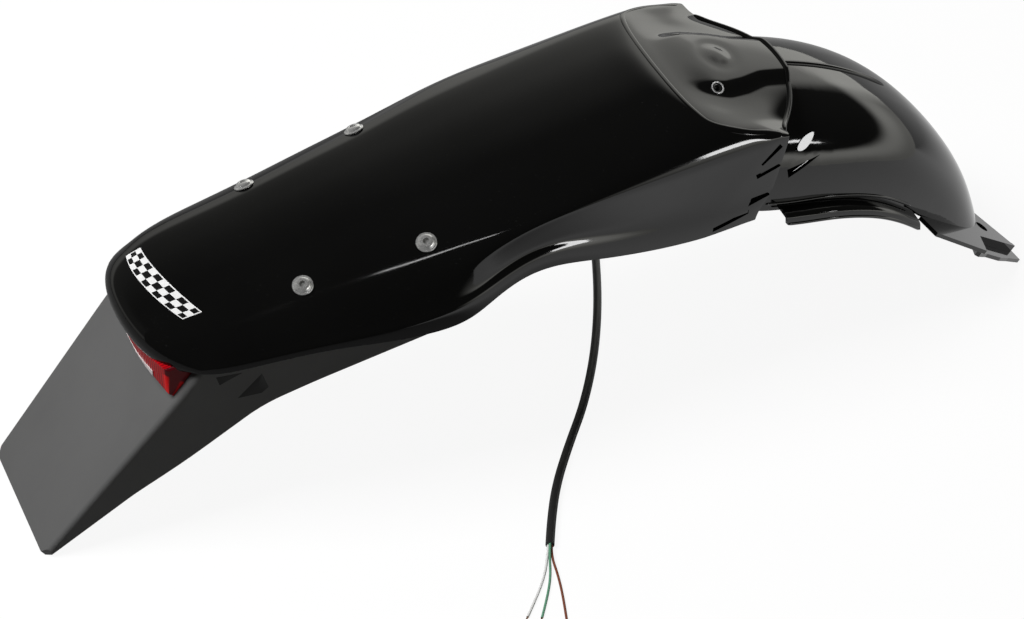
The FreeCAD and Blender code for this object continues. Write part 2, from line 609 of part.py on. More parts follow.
lens_cavity = lens_block(LENS_WALL)
lens_mouth = lens_cavity.copy()
lens_mouth.translate(ramp_normal * -(LENS_WALL + 1.0))
lens = lens_block(0.0).cut(lens_cavity.fuse(lens_mouth))
window_block = flat_side([(95.0, 100.0), (76.0, 113.6), (83.6, 119.4), (96.6, 108.0)], KY * LENS_WINDOW_HALF_WIDTH)
window = lens.common(window_block)
lens = lens.cut(window_block)
lens.translate(ramp_normal * SEAT_CLEARANCE)
window.translate(ramp_normal * SEAT_CLEARANCE)
PARTS["tail_lens"] = biggest(lens)
PARTS["plate_lamp_window"] = biggest(window)


# Lamp board with its light sources, on the ramp inside the lens
lens_foot = pt(LENS_SIDE[0][0], 0.0, LENS_SIDE[0][1])
lens_run = (pt(LENS_SIDE[-1][0], 0.0, LENS_SIDE[-1][1]) - lens_foot).dot(ramp_axis)


def ramp_box(along, length, half, low, height, y=0.0):
    """Box on the ramp inside the lens: along it from the lens's foot, across it and off it."""
    corners = []
    for a, h in ((0.0, low), (length, low), (length, low + height), (0.0, low + height)):
        q = lens_foot + ramp_axis * (along + a) + ramp_normal * h
        corners.append(V(q.x, y - half, q.z))
    return prism(corners, V(0, 2.0 * half, 0))


board_start = LENS_WALL + BOARD_MARGIN
board_length = lens_run - board_start - LENS_WALL - BOARD_TOP_MARGIN
PARTS["lamp_board"] = ramp_box(board_start, board_length, KY * BOARD_HALF_WIDTH, BOARD_STANDOFF, BOARD_THICKNESS)
for row, name in enumerate(("lower", "upper")):
    along = board_start + board_length * (0.26 + 0.48 * row) - 0.5 * LED_SIZE
    for k in range(LEDS_IN_ROW):
        y = KY * LED_PITCH * (k - 0.5 * (LEDS_IN_ROW - 1))
        PARTS["lamp_led_%s_%d" % (name, k + 1)] = ramp_box(
            along, LED_SIZE, 0.5 * LED_SIZE, BOARD_STANDOFF + BOARD_THICKNESS, LED_HEIGHT, y)
grommet_base = lamp_centre + ramp_normal * SEAT_CLEARANCE
collar_base = lamp_centre - ramp_normal * (HOLDER_WALL + SEAT_CLEARANCE)
grommet = cylinder(grommet_base, ramp_normal * -1.0, GROMMET_DIAMETER / 2.0, GROMMET_LENGTH)
PARTS["cable_grommet"] = grommet.fuse(
    cylinder(collar_base, ramp_normal * -1.0, GROMMET_COLLAR_DIAMETER / 2.0, GROMMET_COLLAR))


# Screws with a flanged round head and a six-sided key, and their nuts
def hexagon(centre, axis, across, height):
    radius = across / math.sqrt(3.0)
    side = axis.cross(V(0, 1, 0))
    side.normalize()
    other = axis.cross(side)
    corners = []
    for k in range(6):
        a = math.radians(60.0 * k)
        corners.append(centre + side * (radius * math.cos(a)) + other * (radius * math.sin(a)))
    return prism(corners, axis * height)


def button_screw(p, n, length):
    """Flanged round-head screw standing on a point along a normal."""
    r = SCREW_HEAD_DIAMETER / 2.0
    flange = SCREW_FLANGE_DIAMETER / 2.0
    rim = SCREW_FLANGE_THICKNESS
    profile = [V(0, 0, 0), V(flange, 0, 0), V(flange, 0, rim), V(r, 0, 1.5 * rim),
               V(0.8 * r, 0, 0.8 * SCREW_HEAD_HEIGHT), V(0.5 * r, 0, SCREW_HEAD_HEIGHT),
               V(0, 0, SCREW_HEAD_HEIGHT), V(0, 0, 0)]
    head = Part.Face(Part.makePolygon(profile)).revolve(V(0, 0, 0), V(0, 0, 1), 360.0)
    head = head.fuse(cylinder(V(0, 0, 0), V(0, 0, -1), SCREW_DIAMETER / 2.0, length))
    head = head.cut(hexagon(V(0, 0, rim), V(0, 0, 1), SCREW_KEY, SCREW_HEAD_HEIGHT))
    head.Placement = FreeCAD.Placement(p + n * FACE_CLEARANCE, FreeCAD.Rotation(V(0, 0, 1), n))
    return head


def nut(p, n):
    """Six-sided nut hanging under a seat."""
    body = hexagon(p, n * -1.0, NUT_ACROSS_FLATS, NUT_HEIGHT)
    bore = SCREW_DIAMETER / 2.0 + NUT_CLEARANCE
    return body.cut(cylinder(p + n * NUT_HEIGHT, n * -1.0, bore, 3.0 * NUT_HEIGHT))


for place, (p, n) in fasteners.items():
    seat = boss_lengths[place] + FACE_CLEARANCE
    PARTS["fender_screw_" + place] = button_screw(p, n, seat + NUT_HEIGHT + NUT_REACH)
    PARTS["fender_nut_" + place] = nut(p - n * seat, n)


# Hollow rivets between the fender's front platform and the mudguard
for side, (p, n) in zip(SIDES, ring_points):
    top = p + n * FACE_CLEARANCE
    q, m = skin_along(guard_surface, p, n)
    tilt = n.getAngle(m)
    flange = RIVET_FLANGE_DIAMETER / 2.0
    grip = (p - q).dot(n) + MUDGUARD_WALL / math.cos(tilt) + flange * math.tan(tilt) + SEAT_CLEARANCE
    rivet = cylinder(top, n, flange, RIVET_FLANGE)
    rivet = rivet.fuse(cylinder(top, n * -1.0, RIVET_HOLE_DIAMETER / 2.0 - FACE_CLEARANCE, grip))
    rivet = rivet.fuse(cylinder(top - n * grip, n * -1.0, flange, RIVET_FLANGE))
    bore = cylinder(top + n * flange, n * -1.0, RIVET_BORE_DIAMETER / 2.0, grip + 2.0 * flange)
    PARTS["joint_rivet_" + side] = rivet.cut(bore)


def cord(name, points, radius):
    """Round cord: straight runs joined by arcs as large as the runs allow."""
    edges = []
    start = points[0]
    radii = []
    for before, corner, after in zip(points, points[1:], points[2:]):
        into = corner - before
        out = after - corner
        reach = 0.45 * min(into.Length, out.Length)
        into.normalize()
        out.normalize()
        half_turn = 0.5 * into.getAngle(out)
        bend = reach / math.tan(half_turn)
        inward = out - into
        inward.normalize()
        first = corner - into * reach
        last = corner + out * reach
        middle = corner + inward * (bend / math.cos(half_turn) - bend)
        edges.append(Part.LineSegment(start, first).toShape())
        edges.append(Part.Arc(first, middle, last).toShape())
        radii.append(bend)
        start = last
    edges.append(Part.LineSegment(start, points[-1]).toShape())
    path = Part.Wire(edges)
    ring = Part.Wire([Part.makeCircle(radius, points[0], points[1] - points[0])])
    body = path.makePipeShell([ring], True, True)
    print(name, "length %.1f" % path.Length, "volume over section and length %.4f"
          % (body.Volume / (math.pi * radius ** 2 * path.Length)), "radii", [round(r) for r in radii])
    return body


cable_start = grommet_base - ramp_normal * GROMMET_LENGTH
cable_points = [cable_start, cable_start - ramp_normal * CABLE_EXIT] + [ground(*p) for p in CABLE_ROUTE]
PARTS["cable_sheath"] = cord("cable_sheath", cable_points, SHEATH_DIAMETER / 2.0)
cable_end = cable_points[-1]
cable_way = cable_points[-1] - cable_points[-2]
cable_way.normalize()
cable_side = cable_way.cross(V(0, 0, 1))
for name, ((across, up), route) in WIRE_ROUTES.items():
    root = cable_end + cable_side * -across + V(0, 0, up)
    points = [root, root + cable_way * WIRE_EXIT] + [ground(*p) for p in route]
    PARTS[name] = cord(name, points, WIRE_DIAMETER / 2.0)
    direction = points[-1] - points[-2]
    direction.normalize()
    PARTS[name + "_tip"] = cylinder(points[-1], direction, STRAND_DIAMETER / 2.0, BARE_WIRE)

os.makedirs("parts", exist_ok=True)
for name, shape in PARTS.items():
    shape.exportStep(os.path.join("parts", name + ".step"))
    box = shape.BoundBox
    print(name, shape.isValid(), "solids", len(shape.Solids), "volume %.0f" % shape.Volume,
          "x %.1f %.1f y %.1f %.1f z %.1f %.1f" % (box.XMin, box.XMax, box.YMin, box.YMax, box.ZMin, box.ZMax))
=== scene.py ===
import logging
import math
from dataclasses import dataclass
from enum import Enum
from functools import cached_property
from typing import Any, Sequence

import bmesh
import bpy
import numpy as np
from mathutils import Matrix, Vector


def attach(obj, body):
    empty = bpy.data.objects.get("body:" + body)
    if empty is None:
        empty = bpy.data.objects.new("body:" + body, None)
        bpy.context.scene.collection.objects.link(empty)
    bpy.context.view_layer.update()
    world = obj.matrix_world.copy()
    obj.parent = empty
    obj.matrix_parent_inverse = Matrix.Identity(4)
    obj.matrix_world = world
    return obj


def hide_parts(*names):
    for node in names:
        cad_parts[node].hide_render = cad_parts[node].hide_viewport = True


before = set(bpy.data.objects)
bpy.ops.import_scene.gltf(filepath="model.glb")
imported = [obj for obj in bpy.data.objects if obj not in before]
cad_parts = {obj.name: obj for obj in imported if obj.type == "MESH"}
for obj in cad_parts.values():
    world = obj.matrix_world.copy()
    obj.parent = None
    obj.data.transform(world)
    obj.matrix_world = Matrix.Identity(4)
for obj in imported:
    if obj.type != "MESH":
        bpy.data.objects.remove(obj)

# Rear fender of an off-road motorcycle: gloss black skin, arched inner mudguard, grained plate holder,
# red tail lamp and loose lamp cable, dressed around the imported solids.

LOG = logging.getLogger("rear_fender")
MM = 0.001
BODY = "root"
Array = np.ndarray


class Side(Enum):
    """Side of the machine, as the sign of +Y."""

    LEFT = 1.0
    RIGHT = -1.0


@dataclass(frozen=True)
class Stance:
    """How the part's stations lie in the row frame: turned a little so that both ends rest on the floor."""

    lift: float = 6.2
    pivot: float = 728.5
    middle: float = 362.05

    def point(self, nominal: Any) -> Array:
        """Row-frame points in metres.

        Args:
            nominal: Array of (station, across, height) in millimetres, any shape ending in 3.

        Returns:
            Array of the same shape, turned about the front station and moved to the frame's middle.
        """
        p = np.asarray(nominal, float)
        turn = math.atan2(self.lift, self.pivot)
        s, z = p[..., 0] - self.pivot, p[..., 2]
        x = self.pivot + s * math.cos(turn) + z * math.sin(turn) - self.middle
        h = z * math.cos(turn) - s * math.sin(turn)
        return np.stack([x, p[..., 1], h], axis=-1) * MM

    def floor_point(self, route: Any) -> Array:
        """Row-frame points in metres of (station, across, height over the floor) in millimetres."""
        p = np.asarray(route, float)
        x = self.point(np.stack([p[..., 0], p[..., 1], 0.0 * p[..., 2]], axis=-1))[..., 0]
        return np.stack([x, p[..., 1] * MM, p[..., 2] * MM], axis=-1)

    def direction(self, nominal: Any) -> Array:
        """Row-frame direction of a nominal direction."""
        turned = self.point(nominal) - self.point(np.zeros(3))
        return turned / np.linalg.norm(turned)


STANCE = Stance()


class Net:
    """Smooth surface held by a net of points: a cubic tensor-product spline on even knots."""

    def __init__(self, points: Any) -> None:
        """Keeps the net, an array of rows, columns and three coordinates."""
        self.points = np.asarray(points, float)

    @staticmethod
    def basis(count: int, t: Array, degree: int = 3) -> Array:
        """Weight of each net point at each parameter, by the recursion of spline bases.

        Args:
            count: Number of net points along the direction.
            t: Parameters from 0 to count - degree.
            degree: Degree of the spline.

        Returns:
            Array of len(t) by count.
        """
        last = count - degree
        knots = np.concatenate([np.zeros(degree), np.arange(last + 1), np.full(degree, last)]).astype(float)
        t = np.clip(t, 0.0, last - 1e-9)[:, None]
        weights = ((t >= knots[None, :-1]) & (t < knots[None, 1:])).astype(float)
        for d in range(1, degree + 1):
            left, right = knots[d:-1] - knots[:-d - 1], knots[d + 1:] - knots[1:-d]
            rise = np.where(left > 0, (t - knots[None, :-d - 1]) / np.where(left > 0, left, 1), 0)
            fall = np.where(right > 0, (knots[None, d + 1:] - t) / np.where(right > 0, right, 1), 0)
            weights = rise * weights[:, :-1] + fall * weights[:, 1:]
        return weights

    def spans(self) -> tuple[float, float]:
        """Largest parameter along rows and along columns."""
        return self.points.shape[0] - 3.0, self.points.shape[1] - 3.0

    def at(self, u: Array, v: Array) -> Array:
        """Grid of surface points at every pair of the parameters u and v."""
        rows, columns = self.points.shape[:2]
        return np.einsum("ui,ijk,vj->uvk", self.basis(rows, u), self.points, self.basis(columns, v))

    def along(self, u: Array, v: Array) -> Array:
        """Surface points at the pairs of parameters, taken one by one along both arrays."""
        rows, columns = self.points.shape[:2]
        return np.einsum("ni,ijk,nj->nk", self.basis(rows, u), self.points, self.basis(columns, v))


def unit(v: Array) -> Array:
    """Vectors scaled to length one."""
    return v / np.maximum(np.linalg.norm(v, axis=-1, keepdims=True), 1e-12)


def grid_normals(p: Array) -> Array:
    """Normals of a grid of points, from the cross product of its differences along rows and columns."""
    return unit(np.cross(np.gradient(p, axis=0), np.gradient(p, axis=1)))


def smooth(x: Array, low: float, high: float) -> Array:
    """Soft step from 0 at low to 1 at high."""
    t = np.clip((x - low) / (high - low), 0.0, 1.0)
    return t * t * (3.0 - 2.0 * t)


def tied(piece: bpy.types.Object, node: str = "") -> bpy.types.Object:
    """Puts a piece into the scene, riding on the part's body.

    Args:
        piece: The new object.
        node: Solid that it replaces, if any.

    Returns:
        The same object.
    """
    bpy.context.scene.collection.objects.link(piece)
    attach(piece, BODY)
    if node:
        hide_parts(node)
    return piece


@dataclass
class MeshPiece:
    """Points and faces of one mesh, in metres in the row frame."""

    points: Array
    quads: Array
    uv: Array | None = None
    poles: bool = False

    @staticmethod
    def grid_quads(rows: int, columns: int, start: int = 0, around: bool = False) -> Array:
        """Quads of a grid, with the last column joined to the first when it goes around.

        Args:
            rows: Number of rows of points.
            columns: Number of points in each row.
            start: Index of the grid's first point.
            around: Whether each row is a closed ring.

        Returns:
            Array of quads by four indices.
        """
        i = np.arange(rows - 1)[:, None]
        j = np.arange(columns if around else columns - 1)[None, :]
        k = (j + 1) % columns
        a, b = i * columns + j, (i + 1) * columns + j
        c, d = (i + 1) * columns + k, i * columns + k
        return start + np.stack([a, b, c, d], axis=-1).reshape(-1, 4)

    @classmethod
    def sheet(cls, outer: Array, inner: Array, round_edge: float) -> "MeshPiece":
        """Closed sheet between two grids of the same shape, with a rounded edge all round.

        Args:
            outer: Grid of outer points, with faces turned outward along its rows and columns.
            inner: Grid of inner points.
            round_edge: How far the middle of the wall stands out at the edge.

        Returns:
            The closed mesh.
        """
        rows, columns = outer.shape[:2]
        count = rows * columns
        i = np.concatenate([np.zeros(columns - 1, int), np.arange(rows - 1), np.full(columns - 1, rows - 1),
                            np.arange(rows - 1, 0, -1)])
        j = np.concatenate([np.arange(columns - 1), np.full(rows - 1, columns - 1),
                            np.arange(columns - 1, 0, -1), np.zeros(rows - 1, int)])
        step_i = np.where(i == 0, 1, np.where(i == rows - 1, -1, 0))
        step_j = np.where(j == 0, 1, np.where(j == columns - 1, -1, 0))
        away = unit(outer[i, j] - outer[i + step_i, j + step_j])
        middle = 0.5 * (outer[i, j] + inner[i, j]) + away * round_edge
        ring = i * columns + j
        following = np.roll(ring, -1)
        mids = 2 * count + np.arange(len(ring))
        mids_following = np.roll(mids, -1)
        edge_out = np.stack([ring, following, mids_following, mids], axis=-1)
        edge_in = np.stack([mids, mids_following, count + following, count + ring], axis=-1)
        outside = cls.grid_quads(rows, columns)
        inside = cls.grid_quads(rows, columns, count)[:, ::-1]
        points = np.concatenate([outer.reshape(-1, 3), inner.reshape(-1, 3), middle])
        return cls(points, np.concatenate([outside, inside, edge_out, edge_in]))

    @classmethod
    def joined(cls, pieces: Sequence["MeshPiece"]) -> "MeshPiece":
        """Several meshes as one."""
        starts = np.cumsum([0] + [len(p.points) for p in pieces[:-1]])
        points = np.concatenate([p.points for p in pieces])
        quads = np.concatenate([p.quads + s for p, s in zip(pieces, starts)])
        return cls(points, quads, None, any(p.poles for p in pieces))

    def turned(self) -> "MeshPiece":
        """The same mesh with its faces turned round."""
        return MeshPiece(self.points, self.quads[:, ::-1], self.uv, self.poles)

    def mirrored(self) -> "MeshPiece":
        """Mirror image across the middle plane, with its faces still outward."""
        return MeshPiece(self.points * (1.0, -1.0, 1.0), self.quads[:, ::-1], self.uv, self.poles)

    def build(self, name: str, material: bpy.types.Material, slot: str, node: str = "",
              sharp: float = 34.0) -> bpy.types.Object:
        """Makes the Blender object.

        Args:
            name: Name of the piece.
            material: Its material.
            slot: Material slot of the piece; not used.
            node: Solid that it replaces, if any.
            sharp: Angle in degrees above which an edge is sharp.

        Returns:
            The object, riding on the part's body.
        """
        mesh = bpy.data.meshes.new(name)
        quads = np.ascontiguousarray(self.quads, np.int32)
        mesh.vertices.add(len(self.points))
        mesh.vertices.foreach_set("co", self.points.astype(np.float32).ravel())
        mesh.loops.add(quads.size)
        mesh.loops.foreach_set("vertex_index", quads.ravel())
        mesh.polygons.add(len(quads))
        mesh.polygons.foreach_set("loop_start", np.arange(0, quads.size, 4, dtype=np.int32))
        if self.uv is not None:
            layer = mesh.uv_layers.new(name="surface")
            layer.data.foreach_set("uv", self.uv[quads.ravel()].astype(np.float32).ravel())
        mesh.update(calc_edges=True)
        mesh.validate()
        if self.poles:
            shape = bmesh.new()
            shape.from_mesh(mesh)
            bmesh.ops.remove_doubles(shape, verts=shape.verts, dist=1e-7)
            bmesh.ops.dissolve_degenerate(shape, edges=shape.edges, dist=1e-8)
            shape.to_mesh(mesh)
            shape.free()
        mesh.polygons.foreach_set("use_smooth", np.ones(len(mesh.polygons), bool))
        mesh.set_sharp_from_angle(angle=math.radians(sharp))
        mesh.materials.append(material)
        return tied(bpy.data.objects.new(name, mesh), node)


def outward(piece: MeshPiece) -> MeshPiece:
    """The closed mesh with its faces turned outward, judged by its signed volume."""
    centre = piece.points.mean(axis=0)
    a, b, c, d = (piece.points[piece.quads[:, k]] - centre for k in range(4))
    volume = np.einsum("ij,ij->", a, np.cross(b, c)) + np.einsum("ij,ij->", a, np.cross(c, d))
    return piece if volume > 0.0 else piece.turned()


def revolved(profile: Any, base: Array, axis: Array, around: int = 48) -> MeshPiece:
    """Surface of revolution: a profile carried round an axis from a base point.

    A row of the profile is (radius, height) in millimetres; a third number above zero makes the ring
    six-sided, with the radius as half of the width across its flats.

    Args:
        profile: Rows from one pole or edge to the other.
        base: Foot of the axis in metres.
        axis: Unit direction of the axis.
        around: Number of steps round the axis.

    Returns:
        The mesh, closed at its poles.
    """
    rows = np.array([(*row, 0.0)[:3] for row in profile])
    side = unit(np.cross(axis, (0.0, 1.0, 0.0)))
    other = np.cross(axis, side)
    a = np.linspace(0.0, 2.0 * math.pi, around, endpoint=False)
    flat = 1.0 / np.cos((a % (math.pi / 3.0)) - math.pi / 6.0)
    radius = rows[:, :1] * np.where(rows[:, 2:] > 0.0, flat[None], 1.0)
    ring = np.cos(a)[:, None] * side + np.sin(a)[:, None] * other
    points = base + (rows[:, None, 1:2] * axis + radius[..., None] * ring[None]) * MM
    quads = MeshPiece.grid_quads(len(rows), around, around=True)
    return outward(MeshPiece(points.reshape(-1, 3), quads, poles=True))


def bead(path: Array, across: Array, lift: Array, half_width: float, half_height: float, taper: float = 0.06,
         around: int = 16) -> MeshPiece:
    """Round bead: an ellipse carried along a path, drawn in to a point over a short stretch at both ends.

    Args:
        path: Points in millimetres of the nominal part.
        across: Unit directions of the ellipse's width, one for each point.
        lift: Unit directions of its height.
        half_width: Half of its width in millimetres.
        half_height: Half of its height in millimetres.
        taper: Share of the path at each end over which it is drawn in.
        around: Number of steps round the ellipse.

    Returns:
        The closed mesh.
    """
    t = np.linspace(0.0, 1.0, len(path))
    size = np.sqrt(np.clip(1.0 - (1.0 - np.clip(np.minimum(t, 1.0 - t) / taper, 0.0, 1.0)) ** 2, 0.0, 1.0))
    a = np.linspace(0.0, 2.0 * math.pi, around, endpoint=False)
    wide, tall = (half_width * np.cos(a))[:, None], (half_height * np.sin(a))[:, None]
    ring = wide * across[:, None] + tall * lift[:, None]
    points = STANCE.point(path[:, None] + size[:, None, None] * ring)
    quads = MeshPiece.grid_quads(len(path), around, around=True)
    return outward(MeshPiece(points.reshape(-1, 3), quads, poles=True))


def cut_through(piece: bpy.types.Object, cutters: Sequence[tuple[Array, Array]], sharp: float) -> None:
    """Cuts prisms out of a piece.

    Args:
        piece: The closed piece, changed in place.
        cutters: Pairs of end outlines in metres, with as many points on both.
        sharp: Angle in degrees above which an edge is sharp afterwards.
    """
    points: list[Array] = []
    faces: list[list[int]] = []
    start = 0
    for low, high in cutters:
        count = len(low)
        ring = np.arange(count)
        following = np.roll(ring, -1)
        faces += (start + np.stack([ring, following, following + count, ring + count], axis=-1)).tolist()
        faces += [(start + ring[::-1]).tolist(), (start + count + ring).tolist()]
        points += [low, high]
        start += 2 * count
    mesh = bpy.data.meshes.new("cutter")
    mesh.from_pydata(np.concatenate(points).tolist(), [], faces)
    shape = bmesh.new()
    shape.from_mesh(mesh)
    bmesh.ops.recalc_face_normals(shape, faces=shape.faces)
    shape.to_mesh(mesh)
    shape.free()
    cutter = bpy.data.objects.new("cutter", mesh)
    bpy.context.scene.collection.objects.link(cutter)
    opening = piece.modifiers.new("openings", "BOOLEAN")
    opening.operation = "DIFFERENCE"
    opening.solver = "EXACT"
    opening.object = cutter
    depsgraph = bpy.context.evaluated_depsgraph_get()
    opened = bpy.data.meshes.new_from_object(piece.evaluated_get(depsgraph))
    piece.modifiers.clear()
    whole = piece.data
    piece.data = opened
    opened.set_sharp_from_angle(angle=math.radians(sharp))
    bpy.data.objects.remove(cutter)
    bpy.data.meshes.remove(mesh)
    bpy.data.meshes.remove(whole)


def drill(place: Array, axis: Array, radius: float, reach: float) -> tuple[Array, Array]:
    """Round cutter of a radius, reaching so far both ways along an axis, all in metres."""
    side = unit(np.cross(axis, (0.0, 1.0, 0.0)))
    a = np.linspace(0.0, 2.0 * math.pi, 28, endpoint=False)[:, None]
    ring = place + radius * (np.cos(a) * side + np.sin(a) * np.cross(axis, side))
    return ring - reach * axis, ring + reach * axis


def stepped(corners: Any, steps: int = 8) -> Array:
    """Closed outline with so many even steps on each of its straight sides."""
    corners = np.asarray(corners, float)
    share = np.arange(steps)[:, None] / steps
    ring = corners[:, None] + share * (np.roll(corners, -1, axis=0) - corners)[:, None]
    return ring.reshape(-1, corners.shape[1])


def carried(ring: Array, rows: Any, way: Any) -> Array:
    """Grid of rings: an outline scaled about its middle and moved along a direction, row by row.

    Args:
        ring: Points of the closed outline.
        rows: Pairs of scale about the middle and distance along the direction.
        way: Unit direction.

    Returns:
        Array of rows by ring points by three.
    """
    middle = ring.mean(axis=0)
    scale, distance = np.array(rows).T[:, :, None, None]
    return middle + scale * (ring - middle) + distance * np.asarray(way)


def both_sides(grids: Sequence[Array]) -> MeshPiece:
    """Closed meshes of grids of rings in metres, with their mirror images, as one mesh."""
    pieces = []
    for grid in grids:
        quads = MeshPiece.grid_quads(*grid.shape[:2], around=True)
        pieces.append(outward(MeshPiece(grid.reshape(-1, 3), quads, poles=True)))
    return MeshPiece.joined([*pieces, *(piece.mirrored() for piece in pieces)])


class Signal:
    """One socket of a shader, with arithmetic that adds Math nodes."""

    def __init__(self, shader: "Shader", socket: bpy.types.NodeSocket) -> None:
        """Keeps the shader and the socket."""
        self.shader = shader
        self.socket = socket

    def math(self, operation: str, *values: Any) -> "Signal":
        """Result of a Math node on this socket and more values."""
        named = {index: value for index, value in enumerate((self, *values))}
        return self.shader.node("ShaderNodeMath", {"operation": operation}, named)

    def __add__(self, other: Any) -> "Signal":
        """Sum."""
        return self.math("ADD", other)

    __radd__ = __add__

    def __mul__(self, other: Any) -> "Signal":
        """Product."""
        return self.math("MULTIPLY", other)

    __rmul__ = __mul__

    def __sub__(self, other: Any) -> "Signal":
        """Difference."""
        return self.math("SUBTRACT", other)

    def __rsub__(self, other: Any) -> "Signal":
        """Difference from a number."""
        return self.shader.node("ShaderNodeMath", {"operation": "SUBTRACT"}, {0: other, 1: self})

    def between(self, low: float, high: float, first: float = 0.0, last: float = 1.0) -> "Signal":
        """Soft step of this value from low to high, giving first to last."""
        return self.shader.node("ShaderNodeMapRange", {"interpolation_type": "SMOOTHSTEP", "clamp": True},
                                {"Value": self, "From Min": low, "From Max": high, "To Min": first,
                                 "To Max": last})


class Shader:
    """Node tree of one material or of the world."""

    def __init__(self, owner: Any) -> None:
        """Empties the owner's node tree."""
        owner.use_nodes = True
        self.tree = owner.node_tree
        self.tree.nodes.clear()

    def node(self, kind: str, settings: dict[str, Any] | None = None, inputs: dict[Any, Any] | None = None,
             output: Any = 0) -> Signal:
        """Adds a node.

        Args:
            kind: Blender's name of the node.
            settings: Attributes set first; a ramp's stops are under "stops" as (place, colour).
            inputs: Values or signals by socket name or number.
            output: Name or number of the output that is returned.

        Returns:
            The output as a signal.
        """
        made = self.tree.nodes.new(kind)
        for key, value in (settings or {}).items():
            if key == "stops":
                while len(made.color_ramp.elements) < len(value):
                    made.color_ramp.elements.new(0.5)
                for element, (place, colour) in zip(made.color_ramp.elements, value):
                    element.position = place
                    element.color = colour
            else:
                setattr(made, key, value)
        for key, value in (inputs or {}).items():
            if isinstance(value, Signal):
                self.tree.links.new(value.socket, made.inputs[key])
            else:
                made.inputs[key].default_value = value
        return Signal(self, made.outputs[output]) if len(made.outputs) else Signal(self, made.inputs[0])

    def place(self) -> Signal:
        """Object coordinates in metres."""
        return self.node("ShaderNodeTexCoord", output="Object")

    def surface_uv(self) -> Signal:
        """The piece's own surface map."""
        return self.node("ShaderNodeUVMap", {"uv_map": "surface"})

    def axes(self, vector: Signal, names: str) -> list[Signal]:
        """Coordinates of a vector, by their letters."""
        return [self.node("ShaderNodeSeparateXYZ", None, {"Vector": vector}, name) for name in names]

    def ray(self, kind: str) -> Signal:
        """Whether a ray is of a kind, such as Camera or Glossy."""
        return self.node("ShaderNodeLightPath", output=f"Is {kind} Ray")

    def noise(self, scale: float, detail: float = 3.0, rough: float = 0.5, at: Signal | None = None,
              stretch: tuple[float, float, float] | None = None) -> Signal:
        """Noise from 0 to 1 at so many cells per metre, along stretched coordinates where given."""
        at = at or self.place()
        if stretch:
            at = self.node("ShaderNodeMapping", None, {"Vector": at, "Scale": stretch})
        return self.node("ShaderNodeTexNoise", None, {"Vector": at, "Scale": scale, "Detail": detail,
                                                      "Roughness": rough}, "Fac")

    def mix(self, factor: Any, a: Any, b: Any) -> Signal:
        """Colour between a and b."""
        return self.node("ShaderNodeMix", {"data_type": "RGBA"}, {0: factor, 6: a, 7: b}, 2)

    def bump(self, height: Any, distance: float, strength: float) -> Signal:
        """Normal from a height."""
        return self.node("ShaderNodeBump", None, {"Height": height, "Distance": distance,
                                                  "Strength": strength}, "Normal")

    def surface(self, **sockets: Any) -> None:
        """Principled surface to the output; underscores in the names stand for spaces."""
        named = {key.replace("_", " "): value for key, value in sockets.items()}
        body = self.node("ShaderNodeBsdfPrincipled", None, named)
        self.node("ShaderNodeOutputMaterial", None, {"Surface": body})


Colour = tuple[float, float, float, float]


def grey(value: float) -> Colour:
    """Opaque grey."""
    return (value, value, value, 1.0)


@dataclass(frozen=True)
class Finish:
    """A named finish, which paints the shader of each material made from it."""

    name: str

    def paint(self, sh: Shader) -> None:
        """Adds the nodes of the finish."""
        raise NotImplementedError

    def material(self) -> bpy.types.Material:
        """Builds a material."""
        made = bpy.data.materials.new(self.name)
        self.paint(Shader(made))
        return made


@dataclass(frozen=True)
class MouldedPlastic(Finish):
    """Moulded plastic: colour that drifts slightly, gloss with faint flow marks, and a fine texture."""

    base: Colour
    tint: Colour
    rough: float
    rough_spread: float
    grain_scale: float
    grain_depth: float
    dust: float = 0.0
    specular: float = 0.5

    def paint(self, sh: Shader) -> None:
        """Adds the nodes of the finish."""
        drift = sh.noise(9.0, 4.0)
        flow = sh.noise(60.0, 5.0, 0.6, stretch=(0.25, 1.0, 1.0))
        specks = sh.noise(900.0, 1.0, 0.4).between(0.76, 0.80)
        colour = sh.mix(drift.between(0.3, 0.7), self.base, self.tint)
        if self.dust > 0.0:
            colour = sh.mix(specks * self.dust, colour, grey(0.35))
        rough = flow.between(0.25, 0.75, self.rough - self.rough_spread, self.rough + self.rough_spread)
        grain = sh.noise(self.grain_scale, 2.0, 0.5)
        sh.surface(Base_Color=colour, Roughness=rough, Normal=sh.bump(grain, self.grain_depth, 0.5), IOR=1.5,
                   Specular_IOR_Level=self.specular)


@dataclass(frozen=True)
class LensPlastic(Finish):
    """Coloured lens plastic: a painted glow, bright along its edges where the surface map gives it, deep
    between them, with fine upright flutes that also stripe the colour.
    """

    bright: Colour
    deep: Colour
    flutes: float
    painted_rim_glow: bool

    def paint(self, sh: Shader) -> None:
        """Adds the nodes of the finish."""
        wave = (sh.axes(sh.place(), "Y")[0] * self.flutes).math("SINE")
        painted_glow_and_flutes = wave.between(-1.0, 1.0, 0.0, 0.22)
        if self.painted_rim_glow:
            # Painted glow along the lens's edges, from the surface map's first coordinate.
            painted_glow_and_flutes = painted_glow_and_flutes + sh.axes(sh.surface_uv(), "X")[0]
        colour = sh.mix(painted_glow_and_flutes.between(0.0, 1.0), self.deep, self.bright)
        rough = sh.noise(400.0).between(0.2, 0.8, 0.10, 0.18)
        sh.surface(Base_Color=colour, Roughness=rough, Normal=sh.bump(wave, 0.0002, 0.3), IOR=1.49,
                   Specular_IOR_Level=0.35)


